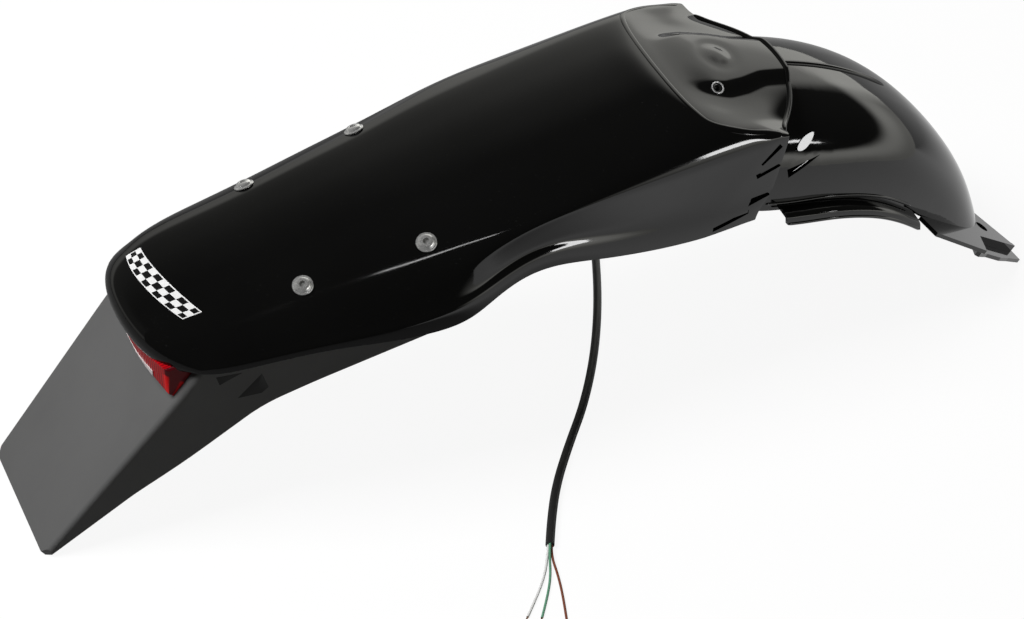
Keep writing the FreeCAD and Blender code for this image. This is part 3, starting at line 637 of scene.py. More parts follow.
@dataclass(frozen=True)
class CheckedFilm(Finish):
    """Printed film: checks on the piece's own surface map, inside a white border."""

    light: Colour
    dark: Colour
    squares: tuple[float, float]
    border: float

    def paint(self, sh: Shader) -> None:
        """Adds the nodes of the finish."""
        x, y = sh.axes(sh.surface_uv(), "XY")
        check = ((x * math.pi).math("SINE") * (y * math.pi).math("SINE")).between(-0.01, 0.01)
        for value, count in zip((x, y), self.squares):
            check = check.math("MAXIMUM", value.between(self.border, self.border + 0.02, 1.0, 0.0))
            check = check.math("MAXIMUM", value.between(count - self.border - 0.02, count - self.border))
        worn = check * sh.noise(500.0, 4.0).between(0.2, 0.8, 0.9, 1.0)
        rough = sh.noise(300.0).between(0.2, 0.8, 0.20, 0.30)
        sh.surface(Base_Color=sh.mix(worn, self.dark, self.light), Roughness=rough, IOR=1.5)


@dataclass(frozen=True)
class PlatedMetal(Finish):
    """Bright plated or turned metal with fine turning marks and dull spots."""

    base: Colour
    dull: Colour
    rough: float
    marks: float
    metal: float = 1.0

    def paint(self, sh: Shader) -> None:
        """Adds the nodes of the finish."""
        stain = sh.noise(500.0, 3.0)
        fine = sh.noise(self.marks, 2.0)
        colour = sh.mix(stain.between(0.45, 0.75), self.base, self.dull)
        rough = fine.between(0.2, 0.8, self.rough * 0.7, self.rough * 1.5)
        sh.surface(Base_Color=colour, Roughness=rough, Metallic=self.metal,
                   Normal=sh.bump(fine, 0.00004, 0.4))


FENDER_BLACK = MouldedPlastic("gloss_black_skin", grey(0.0018), grey(0.0026), 0.06, 0.015, 1400.0, 0.000006,
                              dust=0.03)
MUDGUARD_BLACK = MouldedPlastic("gloss_black_mudguard", grey(0.0022), grey(0.0032), 0.055, 0.015, 1400.0,
                                0.000006, dust=0.02)
HOLDER_GRAIN = MouldedPlastic("grained_black_holder", grey(0.094), grey(0.108), 0.5, 0.05, 2600.0, 0.00010,
                              specular=0.22)
CABLE_BLACK = MouldedPlastic("satin_black_cable", grey(0.016), grey(0.024), 0.34, 0.06, 1800.0, 0.00004)
RUBBER_BLACK = MouldedPlastic("black_rubber", grey(0.018), grey(0.026), 0.6, 0.08, 1500.0, 0.00006)
# Dead black for the mudguard's blind pockets and for the painted shade panels on the holder's walls.
POCKET_AND_SHADOW_BLACK = MouldedPlastic("pocket_and_shadow_black", grey(0.004), grey(0.006), 0.55, 0.06, 1500.0, 0.00003)
RIVET_BLACK = MouldedPlastic("blackened_rivet", grey(0.006), grey(0.010), 0.22, 0.05, 1500.0, 0.00002)
WHITE_INSULATION = MouldedPlastic("white_insulation", grey(0.74), (0.66, 0.65, 0.62, 1.0),
                                  0.38, 0.06, 2500.0, 0.00003)
GREEN_INSULATION = MouldedPlastic("green_insulation", (0.12, 0.30, 0.19, 1.0), (0.16, 0.36, 0.24, 1.0),
                                  0.38, 0.06, 2500.0, 0.00003)
BROWN_INSULATION = MouldedPlastic("brown_insulation", (0.19, 0.060, 0.034, 1.0), (0.26, 0.085, 0.05, 1.0),
                                  0.38, 0.06, 2500.0, 0.00003)
BOARD_GREEN = MouldedPlastic("printed_board", (0.03, 0.09, 0.05, 1.0), (0.05, 0.12, 0.07, 1.0),
                             0.4, 0.1, 800.0, 0.00005)
LIGHT_SOURCE = MouldedPlastic("light_source_cap", (0.80, 0.74, 0.52, 1.0), (0.86, 0.82, 0.66, 1.0),
                              0.2, 0.05, 800.0, 0.00002)
# Bright red is the painted glow along the red lens's edges; deep red lies between.
RED_LENS = LensPlastic("red_lens_plastic", (0.74, 0.005, 0.007, 1.0), (0.085, 0.002, 0.006, 1.0),
                       2600.0, painted_rim_glow=True)
CLEAR_LENS = LensPlastic("clear_lens_plastic", (0.84, 0.80, 0.80, 1.0), (0.66, 0.60, 0.60, 1.0),
                         1500.0, painted_rim_glow=False)
CHECK_FILM = CheckedFilm("checked_film", grey(0.80), grey(0.006), (12.0, 3.0), 0.16)
ZINC = PlatedMetal("zinc_plated_steel", (0.80, 0.80, 0.79, 1.0), (0.62, 0.62, 0.62, 1.0), 0.24, 3000.0, 0.8)
RIVET_METAL = PlatedMetal("turned_rivet_metal", (0.78, 0.78, 0.79, 1.0), (0.60, 0.60, 0.61, 1.0),
                          0.24, 2500.0, 0.6)
COPPER = PlatedMetal("bare_copper", (0.76, 0.40, 0.22, 1.0), (0.50, 0.26, 0.15, 1.0), 0.3, 6000.0)

# Fender sections from the tail to the front edge, in millimetres: middle line (station, height), then
# shoulder, upper flank, crease, below crease, panel foot, band top and rim as (station, across, height).
FENDER_ROWS = (
    ((84.0, 153.0), (103, 50.5, 146.4), (107, 56.4, 142.0), (110, 60.6, 138.4), (111.2, 62.8, 136.4),
     (113.4, 67.0, 132.6), (114.2, 68.6, 131.4), (114.6, 69.2, 128.0)),
    ((101.0, 157.0), (112, 53.6, 149.2), (115.4, 59.8, 144.4), (118.4, 64.1, 140.6), (119.4, 66.5, 138.2),
     (121.4, 70.6, 133.6), (122.4, 72.2, 131.8), (122.8, 72.8, 128.4)),
    ((125.0, 161.4), (130, 56.0, 152.4), (132, 63.0, 147.7), (134, 67.4, 143.9), (135, 70.0, 141.2),
     (138, 74.4, 135.8), (139, 76.2, 133.8), (139.5, 76.8, 130.2)),
    ((155.0, 166.7), (158, 57.4, 156.8), (160, 65.8, 151.4), (162, 70.9, 147.0), (163, 73.7, 144.2),
     (165, 78.6, 138.6), (166, 80.6, 136.6), (166.5, 81.4, 132.8)),
    ((187.0, 172.4), (188, 60.0, 161.4), (190, 69.0, 155.5), (192, 74.6, 150.6), (193, 77.6, 147.4),
     (195, 83.2, 141.2), (196, 85.8, 139.0), (196.5, 86.8, 134.4)),
    ((228.0, 179.7), (228, 64.0, 168.6), (229, 73.5, 162.2), (230, 79.8, 155.8), (230, 83.2, 151.4),
     (230, 89.6, 142.8), (230, 92.8, 140.0), (230, 93.6, 132.8)),
    ((266.0, 186.4), (264, 66.5, 174.8), (263, 76.5, 168.2), (263, 82.9, 160.8), (263, 86.2, 155.4),
     (263, 92.6, 145.2), (263, 95.6, 141.8), (263, 96.2, 131.4)),
    ((293.0, 191.2), (290, 68.0, 180.4), (288, 77.0, 174.6), (286, 82.6, 167.6), (286, 85.2, 161.6),
     (285, 91.4, 148.4), (284, 95.0, 144.8), (284, 95.4, 133.6)),
    ((316.0, 195.3), (312, 68.8, 185.0), (309, 77.4, 180.2), (308, 81.8, 175.2), (307, 82.6, 169.8),
     (304, 85.4, 155.0), (303, 91.0, 151.6), (302, 91.6, 141.6)),
    ((341.0, 199.8), (336, 69.2, 189.6), (334, 77.6, 186.0), (333, 81.6, 182.8), (332, 81.6, 178.0),
     (326, 80.8, 161.6), (324, 87.2, 158.6), (323, 87.6, 148.8)),
    ((370.0, 204.9), (366, 69.4, 195.0), (364, 77.8, 191.0), (362, 82.0, 187.2), (361, 81.8, 182.6),
     (352, 79.8, 163.6), (349, 85.8, 160.4), (348, 86.2, 150.0)),
    ((406.0, 211.3), (404, 69.6, 201.8), (403, 78.0, 196.0), (402, 82.0, 189.4), (400, 81.8, 184.8),
     (386, 80.0, 156.4), (383, 86.0, 152.6), (382, 86.4, 141.8)),
    ((434.0, 216.3), (438, 69.2, 207.6), (446, 77.4, 200.6), (452, 81.8, 191.8), (450, 81.7, 187.2),
     (428, 81.0, 151.2), (423, 86.0, 146.6), (421, 86.4, 135.6)),
    ((447.0, 218.9), (463, 67.0, 211.8), (483, 75.0, 205.6), (496, 81.2, 195.0), (494, 81.2, 190.4),
     (462, 83.0, 149.2), (455, 86.0, 144.4), (452, 86.3, 133.6)),
    ((456.0, 218.8), (471, 67.6, 210.6), (490, 75.4, 204.2), (504, 81.0, 195.8), (503, 81.1, 191.2),
     (472, 83.0, 148.8), (464, 85.8, 144.2), (461, 86.1, 134.0)),
    ((486.0, 211.6), (492, 64.4, 204.2), (501, 73.0, 201.8), (510, 80.4, 197.2), (509, 80.8, 192.6),
     (485, 82.6, 148.2), (478, 85.2, 144.4), (475, 85.6, 134.4)),
    ((515.0, 203.6), (507, 63.4, 199.2), (509, 72.0, 198.6), (514, 80.0, 196.6), (513, 80.6, 192.0),
     (497, 82.2, 147.4), (489, 84.2, 144.2), (486, 84.6, 134.4)),
    ((541.0, 195.6), (520, 61.4, 192.8), (516, 70.8, 194.8), (517, 79.8, 196.0), (516, 80.4, 191.4),
     (503, 82.0, 146.8), (495, 83.6, 143.8), (492, 84.0, 134.0)),
    ((550.0, 192.4), (526, 60.4, 190.0), (519, 70.2, 193.0), (518, 79.6, 195.6), (517, 80.2, 191.0),
     (505, 81.8, 146.6), (497, 83.3, 143.6), (494, 83.7, 133.8)),
)
# Tail lip from its lower edge up to the top: middle (station, height) and corner (station, across, height)
TAIL_ROWS = (
    ((80.0, 126.0), (102.0, 60.0, 127.2)),
    ((74.4, 136.8), (105.6, 63.2, 127.6)),
    ((75.0, 148.6), (109.6, 66.8, 127.9)),
)

# Tail lip: shares of the way from its middle to its corner
TAIL_SHARES = (0.0, 0.23, 0.45, 0.63, 0.76, 0.84, 0.89, 0.92, 0.945, 0.965, 0.985, 1.0)
# Fender's top: three places between middle and shoulder, as shares of the run and of the width, and the
# shares of the fall there in front of each station
CROWN_RUNS = (0.06, 0.36, 0.70)
CROWN_WIDTHS = (0.33, 0.64, 0.85)
CROWN_FALLS = ((530.0, (0.12, 0.70, 1.02)), (460.0, (0.16, 0.92, 0.98)), (0.0, (0.04, 0.26, 0.60)))

# Wires: solid, finish, slot, place in the sheath (across, up), length in metres, and route on the floor
WIRES = (
    ("wire_white", WHITE_INSULATION, "white_wire", (-1.15, -0.5), 0.062,
     ((286.0, -204.0, 1.3), (273.0, -219.0, 1.0), (262.0, -230.5, 0.9))),
    ("wire_green", GREEN_INSULATION, "green_wire", (0.0, 1.25), 0.0615,
     ((289.5, -206.0, 1.3), (279.5, -222.0, 1.0), (270.0, -235.0, 0.9))),
    ("wire_brown", BROWN_INSULATION, "brown_wire", (1.15, -0.5), 0.0635,
     ((294.5, -206.5, 1.3), (289.5, -225.5, 1.0), (283.5, -243.5, 0.9))),
)

# Mudguard: middle line (station, height), half width and depth of its section
MUDGUARD_ROWS = (
    (474.0, 210.0, 72.0, 62.0), (492.0, 206.4, 73.5, 66.0), (510.0, 201.4, 74.5, 69.0),
    (530.0, 195.6, 75.5, 69.5), (552.0, 188.6, 76.0, 66.6), (576.0, 179.8, 76.0, 62.0),
    (601.0, 167.8, 75.5, 58.0), (627.0, 151.2, 74.5, 54.0), (652.0, 129.6, 73.0, 51.0),
    (675.0, 102.8, 70.5, 47.5), (693.0, 74.4, 68.0, 44.0), (704.0, 47.0, 65.0, 40.0),
    (711.0, 23.0, 63.0, 37.0), (715.0, 4.0, 61.0, 35.0),
)


def mirrored_rows(half: Array) -> Array:
    """Full rows from the left rim over the middle to the right rim, from half rows starting at the middle."""
    left = half[:, :0:-1]
    right = half * (1.0, -1.0, 1.0)
    return np.concatenate([left, right], axis=1)


@dataclass
class FenderSkin:
    """The fender's gloss skin: a sheet of even wall held by the section net."""

    wall: float = 2.6
    steps_along: int = 250
    flank_columns: int = 54
    top_columns: int = 36
    flank_end: float = 6.5
    edge_round: float = 0.6
    sharp: float = 40.0
    screw_hole: float = 6.6
    rivet_hole: float = 6.5
    hole_reach: float = 8.0
    lowest_top: float = 0.14
    screws: tuple[tuple[float, float], ...] = ((187.0, 53.4), (268.7, 61.8))
    rivet: tuple[float, float] = (490.0, 32.0)
    slit_start: float = 60.0
    cut_end: float = 100.0
    slits: tuple[tuple[tuple[float, float], ...], ...] = (
        ((493.2, 171.2), (515.0, 175.4), (515.6, 173.0), (494.4, 167.4)),
        ((496.8, 178.8), (510.4, 191.0), (512.6, 187.8), (498.0, 177.2)))
    grooves: tuple[tuple[float, tuple[tuple[float, float], ...]], ...] = (
        (80.5, ((488.0, 147.2), (512.0, 151.8), (512.0, 155.6), (490.5, 152.6))),
        (83.6, ((461.0, 136.4), (488.2, 141.6), (488.6, 144.6), (461.4, 139.6))))
    dome: tuple[tuple[float, float], ...] = (
        (466.0, 20.0), (478.0, 24.0), (495.0, 27.5), (510.0, 24.0), (526.0, 17.5), (552.0, 15.0))
    dome_height: float = 3.6
    dome_skirt: float = 12.0
    dome_rise: tuple[float, float] = (464.0, 492.0)
    relief_foot: tuple[float, float] = (176.0, 184.0)
    knob: tuple[float, float] = (503.0, 0.0)
    knob_stretch: float = 1.25
    knob_height: float = 1.1
    knob_radius: float = 6.0
    hollow_depth: float = 0.6
    hollow_radius: float = 11.0
    hollow_width: float = 4.0

    def net(self) -> Net:
        """Net of the outer skin in stations: tail lip rows, then the section rows."""
        share = np.array(TAIL_SHARES)
        bow = share * (1.0 + 0.10 * np.sin(math.pi * share))
        rows = []
        for (s0, z0), (sc, yc, zc) in TAIL_ROWS:
            rows.append(np.stack([s0 + (sc - s0) * share ** 2.5, yc * bow, z0 + (zc - z0) * share ** 2.2],
                                 axis=-1))
        for (sc, zc), c4, c5, c6, c7, c9, c10, c11 in FENDER_ROWS:
            crown = next(np.array(falls) for start, falls in CROWN_FALLS if sc > start)
            top = np.stack([sc + (c4[0] - sc) * np.array(CROWN_RUNS), c4[1] * np.array(CROWN_WIDTHS),
                            zc - (zc - c4[2]) * crown], axis=-1)
            c8 = np.array(c7) + 0.52 * (np.array(c9) - np.array(c7))
            rows.append(np.concatenate([[(sc, 0.0, zc)], top, [c4, c5, c6, c7, c8, c9, c10, c11]]))
        return Net(mirrored_rows(np.array(rows)))

    def relief(self, p: Array) -> Array:
        """Height of the moulded details over the net's surface, in millimetres, at stations p.

        A raised dome lies on the platform inside a line in plan and falls over a skirt outside that line,
        with a low knob and a ring-shaped hollow round it in the dome's middle.
        """
        away = np.linalg.norm((p[..., :2] - self.knob) / (1.0, self.knob_stretch), axis=-1)
        height = self.knob_height * np.exp(-(away / self.knob_radius) ** 2)
        height = height - self.hollow_depth * np.exp(-((away - self.hollow_radius) / self.hollow_width) ** 2)
        line = np.array(self.dome)
        beyond = np.abs(p[..., 1]) - np.interp(p[..., 0], line[:, 0], line[:, 1])
        raised = (1.0 - smooth(beyond, 0.0, self.dome_skirt)) * smooth(p[..., 0], *self.dome_rise)
        return (height + self.dome_height * raised) * smooth(p[..., 2], *self.relief_foot)

    def columns(self) -> Array:
        """Parameters across the skin, closer on the flanks than on the top."""
        flank = np.linspace(0.0, self.flank_end, self.flank_columns + 1)[:-1]
        half = np.concatenate([flank, np.linspace(self.flank_end, 10.0, self.top_columns + 1)])
        return np.concatenate([half, 20.0 - half[-2::-1]])

    @cached_property
    def grids(self) -> tuple[Array, Array]:
        """Outer and inner grids of points in stations."""
        net = self.net()
        columns = self.columns()
        outer = net.at(np.linspace(0.0, net.spans()[0], self.steps_along), columns)
        normal = grid_normals(outer)
        normal *= np.sign(normal[self.steps_along // 2, len(columns) // 2, 2])
        outer = outer + normal * self.relief(outer)[..., None]
        return outer, outer - normal * self.wall

    def surface_at(self, station: float, across: float) -> tuple[Array, Array]:
        """Point in metres and outward normal of the skin straight over a plan position."""
        placed = STANCE.point(self.grids[0])
        target = STANCE.point((station, across, 0.0))
        plan = np.linalg.norm(placed[..., :2] - target[:2], axis=-1)
        plan = plan + np.where(placed[..., 2] < self.lowest_top, 1.0, 0.0)
        i, j = np.unravel_index(np.argmin(plan), plan.shape)
        normal = grid_normals(placed)[i, j]
        normal = normal * np.sign(normal[2])
        shift = target[:2] - placed[i, j, :2]
        rise = -(shift @ normal[:2]) / normal[2]
        return placed[i, j] + np.array((*shift, rise)), normal

    def cutters(self) -> list[tuple[Array, Array]]:
        """Holes for screws and rivets, and the slits and grooves in the corners of both side panels."""
        made = []
        openings = [(self.slit_start, slit) for slit in self.slits] + list(self.grooves)
        holes = [(place, self.screw_hole) for place in self.screws] + [(self.rivet, self.rivet_hole)]
        for side in Side:
            for (station, across), width in holes:
                place, axis = self.surface_at(station, side.value * across)
                made.append(drill(place, axis, 0.5 * width * MM, self.hole_reach * MM))
            for start, outline in openings:
                low, high = (STANCE.point([(s, side.value * y, z) for s, z in outline])
                             for y in (start, self.cut_end))
                made.append((low, high))
        return made

    def build(self) -> None:
        """Builds the skin in place of its solid."""
        outer, inner = (STANCE.point(grid) for grid in self.grids)
        piece = outward(MeshPiece.sheet(outer, inner, self.edge_round * MM))
        material = FENDER_BLACK.material()
        made = piece.build("fender_skin", material, "fender_plastic", "rear_fender", self.sharp)
        cut_through(made, self.cutters(), self.sharp)


@dataclass
class FrontBead:
    """Round bead along the front edge of the fender's platform."""

    skin: FenderSkin
    half_width: float = 2.0
    half_height: float = 2.3
    span: tuple[float, float] = (5.2, 15.4)
    set_back: float = 0.8
    sunk: float = 0.5

    def build(self) -> None:
        """Builds the bead on the skin's last row."""
        columns = self.skin.columns()
        rows = self.skin.grids[0][-2:, (columns > self.span[0]) & (columns < self.span[1])]
        along = unit(np.gradient(rows[1], axis=0))
        forward = rows[1] - rows[0]
        forward = unit(forward - along * np.sum(forward * along, axis=-1, keepdims=True))
        lift = np.cross(along, forward)
        lift = lift * np.sign(lift[len(lift) // 2, 2])
        path = rows[1] - forward * self.set_back - lift * self.sunk
        piece = bead(path, forward, lift, self.half_width, self.half_height)
        piece.build("front_edge_bead", FENDER_BLACK.material(), "fender_plastic")


@dataclass
class CreaseLine:
    """Fine raised line along the fold between the fender's top and its front platform."""

    skin: FenderSkin
    half: tuple[tuple[float, float], ...] = (
        (15.75, 10.0), (15.75, 11.0), (15.56, 12.0), (15.42, 13.05), (15.47, 14.0), (15.68, 14.85),
        (16.67, 15.33), (18.95, 15.69))
    steps: int = 420
    averaged: float = 0.7
    half_width: float = 2.6
    half_height: float = 1.2
    sunk: float = 0.92
    taper: float = 0.04

    def build(self) -> None:
        """Builds the line: places in the net's parameters, averaged over a short stretch, carry a bead."""
        marks = np.array(self.half)
        marks = np.concatenate([marks[:0:-1] * (1.0, -1.0) + (0.0, 20.0), marks])
        last = len(marks) - 1.0
        t = np.linspace(0.0, last, self.steps)
        wide = np.clip(t[:, None] + np.linspace(-self.averaged, self.averaged, 15), 0.0, last)
        u, v = (np.interp(wide, np.arange(len(marks)), marks[:, k]).mean(axis=1) for k in range(2))
        net = self.skin.net()
        path = net.along(u, v)
        lift = unit(np.cross(net.along(u - 0.01, v) - path, net.along(u, v + 0.01) - path))
        lift = lift * np.sign(lift[:, 2:])
        across = unit(np.cross(np.gradient(path, axis=0), lift))
        piece = bead(path - lift * self.sunk, across, lift, self.half_width, self.half_height, self.taper)
        piece.build("platform_crease_line", FENDER_BLACK.material(), "fender_plastic")


@dataclass
class TailCheck:
    """Slanting strip of checked film on the tail."""

    skin: FenderSkin
    film: float = 0.16
    bond: float = 0.02
    edge_round: float = 0.01
    rear: tuple[tuple[float, float], tuple[float, float]] = ((2.34, 8.0), (3.02, 12.6))
    width: float = 0.66
    squares: tuple[int, int] = (12, 3)
    steps: tuple[int, int] = (90, 20)

    def build(self) -> None:
        """Builds the strip: a slanting quad in the net's parameters, lifted off the skin as a thin film."""
        (u0, v0), (u1, v1) = self.rear
        t, w = np.meshgrid(*(np.linspace(0.0, 1.0, count) for count in self.steps), indexing="ij")
        u, v = u0 + t * (u1 - u0) + w * self.width, v0 + t * (v1 - v0)
        grid = self.skin.net().along(u.ravel(), v.ravel()).reshape(*self.steps, 3)
        normal = grid_normals(grid)
        normal = normal * np.sign(normal[self.steps[0] // 2, self.steps[1] // 2, 2])
        over, under = (STANCE.point(grid + normal * lift) for lift in (self.film, self.bond))
        piece = MeshPiece.sheet(over, under, self.edge_round * MM)
        uv = np.stack([t * self.squares[0], w * self.squares[1]], axis=-1).reshape(-1, 2)
        edge = np.zeros((len(piece.points) - 2 * len(uv), 2))
        piece.uv = np.concatenate([uv, uv, edge])
        outward(piece).build("tail_check_film", CHECK_FILM.material(), "fender_plastic")


@dataclass
class ScrewSet:
    """Flanged round-head screws with six-sided keys."""

    skin: FenderSkin
    holder_top: tuple[tuple[float, float, float], ...] = ((122.05, 0.0, 138.64), (286.0, 0.0, 164.8))
    holder_wall: float = 3.0
    boss_radius: float = 7.5
    boss_projection: float = 1.2
    nut_and_reach: float = 7.6
    gap: float = 0.1
    sharp: float = 28.0
    head: tuple[tuple[float, ...], ...] = (
        (3.0, -0.02), (6.6, 0.0), (6.8, 0.2), (6.8, 0.7), (6.6, 0.95), (6.2, 1.05), (5.65, 1.12), (5.38, 1.4),
        (5.25, 1.8), (4.9, 2.4), (4.3, 2.9), (3.6, 3.18), (2.9, 3.3), (2.15, 3.3, 1.0), (2.0, 3.1, 1.0),
        (2.0, 1.2, 1.0), (1.2, 1.0), (0.0, 0.9))

    def grip(self, place: Array, axis: Array) -> float:
        """Length in millimetres from the skin to the nut's seat under the holder's top."""
        start, end = STANCE.point(self.holder_top)
        run = unit(end - start)
        up = np.array((-run[2], 0.0, run[0]))
        tilt = math.acos(min(axis @ up, 1.0))
        drop = (place - start) @ up / (axis @ up) / MM + self.holder_wall / math.cos(tilt)
        return drop + self.boss_radius * math.tan(tilt) + self.boss_projection

    def build(self) -> None:
        """Builds the four screws in place of their solids."""
        material = ZINC.material()
        for end, (station, across) in zip(("rear", "front"), self.skin.screws):
            for side in Side:
                place, axis = self.skin.surface_at(station, side.value * across)
                low = -(self.grip(place, axis) + self.gap + self.nut_and_reach)
                profile = [(0.0, low), (2.3, low), (3.0, low + 0.7), *self.head]
                node = f"fender_screw_{end}_{side.name.lower()}"
                piece = revolved(profile, place + axis * self.gap * MM, axis)
                piece.build(f"button_{node}", material, "zinc_steel", node, self.sharp)


@dataclass
class RivetSet:
    """Rivets in the platform: the right one hollow with a bright rim, the left one closed and black."""

    skin: FenderSkin
    shank: float = 9.0
    bore: float = 2.1
    radius: float = 3.15
    rim_radius: float = 3.95
    rim_height: float = 0.62
    rim_section: tuple[float, float] = (0.5, 0.45)

    def build(self) -> None:
        """Builds both rivets in place of their solids."""
        turn = np.linspace(0.0, 2.0 * math.pi, 13)
        rim = np.stack([self.rim_radius + self.rim_section[0] * np.cos(turn),
                        self.rim_height + self.rim_section[1] * np.sin(turn)], axis=-1).tolist()
        foot, radius, bore = -self.shank, self.radius, self.bore
        core = [(bore, foot), (radius, foot), (radius, 0.1), (4.3, 0.1), (4.3, 0.5), (3.3, 0.6), (2.6, 0.4),
                (bore, 0.0), (bore, foot)]
        closed = [(0.0, foot), (radius, foot), (radius, 0.05), (4.2, 0.05), (4.0, 0.18), (3.0, 0.3),
                  (0.0, 0.36)]
        for side, profile, finish in ((Side.RIGHT, core, RIVET_BLACK), (Side.LEFT, closed, FENDER_BLACK)):
            place, axis = self.skin.surface_at(self.skin.rivet[0], side.value * self.skin.rivet[1])
            node = f"joint_rivet_{side.name.lower()}"
            revolved(profile, place, axis).build(f"{node}_core", finish.material(), "rivet_metal", node)
            if side is Side.RIGHT:
                revolved(rim, place, axis).build(f"{node}_rim", RIVET_METAL.material(), "rivet_metal")


@dataclass
class TailLens:
    """Red lens under the tail lip, bowed in plan, with a clear strip over the plate."""

    side: tuple[tuple[float, float], ...] = (
        (93.6, 106.8), (83.2, 115.6), (81.4, 120.6), (82.6, 126.0), (88.0, 129.8), (97.0, 130.6),
        (114.0, 129.8))
    half_width: float = 57.0
    bow: float = 9.0
    seat: float = 0.3
    corner: float = 2.2
    corner_sink: float = 0.16
    round_over: float = 1.1
    sharp: float = 50.0
    window_half: float = 41.0
    window_reach: tuple[float, float] = (0.9, 15.8)
    window_steps: tuple[int, int] = (70, 30)
    window_proud: float = 0.4
    window_sunk: float = 0.8
    window_round: float = 0.1

    def section(self, distance: Array) -> Array:
        """Section points (station, height) at distances along it: straight runs, averaged over a stretch."""
        line = np.array(self.side)
        run = np.concatenate([[0.0], np.cumsum(np.linalg.norm(np.diff(line, axis=0), axis=-1))])
        steps = np.linspace(-self.round_over, self.round_over, 9)
        room = np.minimum(1.0, np.minimum(distance, run[-1] - distance))
        d = np.clip(distance[:, None] + steps * room[:, None], 0.0, run[-1])
        return np.stack([np.interp(d, run, line[:, k]).mean(axis=1) for k in range(2)], axis=-1)

    def surface(self, distance: Array, y: Array, inset: Array) -> Array:
        """Grid of lens points: the section, kept behind the bow, and drawn towards the ramp by the inset."""
        flat = self.section(distance)
        foot, top = np.array(self.side[0]), np.array(self.side[-1])
        run = unit(top - foot)
        lift = self.seat * np.array((-run[1], run[0]))
        front = min(s for s, _ in self.side) + self.bow * (y[:, None] / self.half_width) ** 2
        bowed = np.maximum(flat[None, :, 0], front)
        p = np.stack([bowed, np.broadcast_to(flat[None, :, 1], bowed.shape)], axis=-1)
        along = np.clip((p - foot) @ run, 0.0, np.linalg.norm(top - foot))
        ramp = foot + along[..., None] * run
        p = p + inset[:, None, None] * (ramp - p) + lift
        return np.stack([p[..., 0], np.broadcast_to(y[:, None], p.shape[:2]), p[..., 1]], axis=-1)

    def stations(self) -> tuple[Array, Array]:
        """Places across the lens and their insets: none between the corners, then rising to closed ends."""
        inner = self.half_width - self.corner
        middle = np.linspace(-inner, inner, 81)
        a = np.linspace(0.0, 0.5 * math.pi, 9)[1:]
        cap = np.linspace(self.corner_sink, 1.0, 14)[1:]
        end_y = np.concatenate([inner + self.corner * np.sin(a), np.full(len(cap), self.half_width)])
        end_w = np.concatenate([self.corner_sink * (1.0 - np.cos(a)), cap])
        y = np.concatenate([-end_y[::-1], middle, end_y])
        return y, np.concatenate([end_w[::-1], np.zeros(len(middle)), end_w])

    @staticmethod
    def painted_glow(distance: Array, y: Array, w: Array) -> Array:
        """Painted glow from 0 to 1 over the lens, standing in for light through its thickness: high along its
        corners, ends and foot below the top, at least 0.3 across its middle, low elsewhere.
        """
        rim = np.maximum(smooth(np.abs(y), 51.0, 56.0) * (w < 0.1), smooth(w, 0.20, 0.08) * (w > 0.0))
        bright = np.maximum(np.maximum(rim, smooth(w, 0.72, 0.94))[:, None], smooth(distance, 3.2, 1.2)[None])
        return np.maximum(bright * smooth(distance, 25.0, 22.0)[None], 0.30 * (w == 0.0)[:, None])

    def build(self) -> None:
        """Builds the lens and its clear strip in place of their solids."""
        total = np.linalg.norm(np.diff(np.array(self.side), axis=0), axis=-1).sum()
        distance = np.linspace(0.0, total, 90)
        y, w = self.stations()
        grid = self.surface(distance, y, w)
        # Painted glow of the lens, passed to its material in the surface map's first coordinate.
        painted_glow = self.painted_glow(distance, y, w)
        uv = np.stack([painted_glow.ravel(), np.broadcast_to(y[:, None], painted_glow.shape).ravel()], axis=-1)
        body = MeshPiece(STANCE.point(grid).reshape(-1, 3), MeshPiece.grid_quads(*grid.shape[:2]), uv)
        outward(body).build("tail_lens_shell", RED_LENS.material(), "red_lens", "tail_lens", self.sharp)
        across, along = self.window_steps
        strip = self.surface(np.linspace(*self.window_reach, along),
                             np.linspace(-self.window_half, self.window_half, across), np.zeros(across))
        normal = grid_normals(strip)
        normal = normal * -np.sign(normal[across // 2, along // 2, 0])
        over, under = (STANCE.point(strip + normal * d) for d in (self.window_proud, -self.window_sunk))
        clear = outward(MeshPiece.sheet(over, under, self.window_round * MM))
        clear.build("plate_lamp_strip", CLEAR_LENS.material(), "clear_lens", "plate_lamp_window", self.sharp)


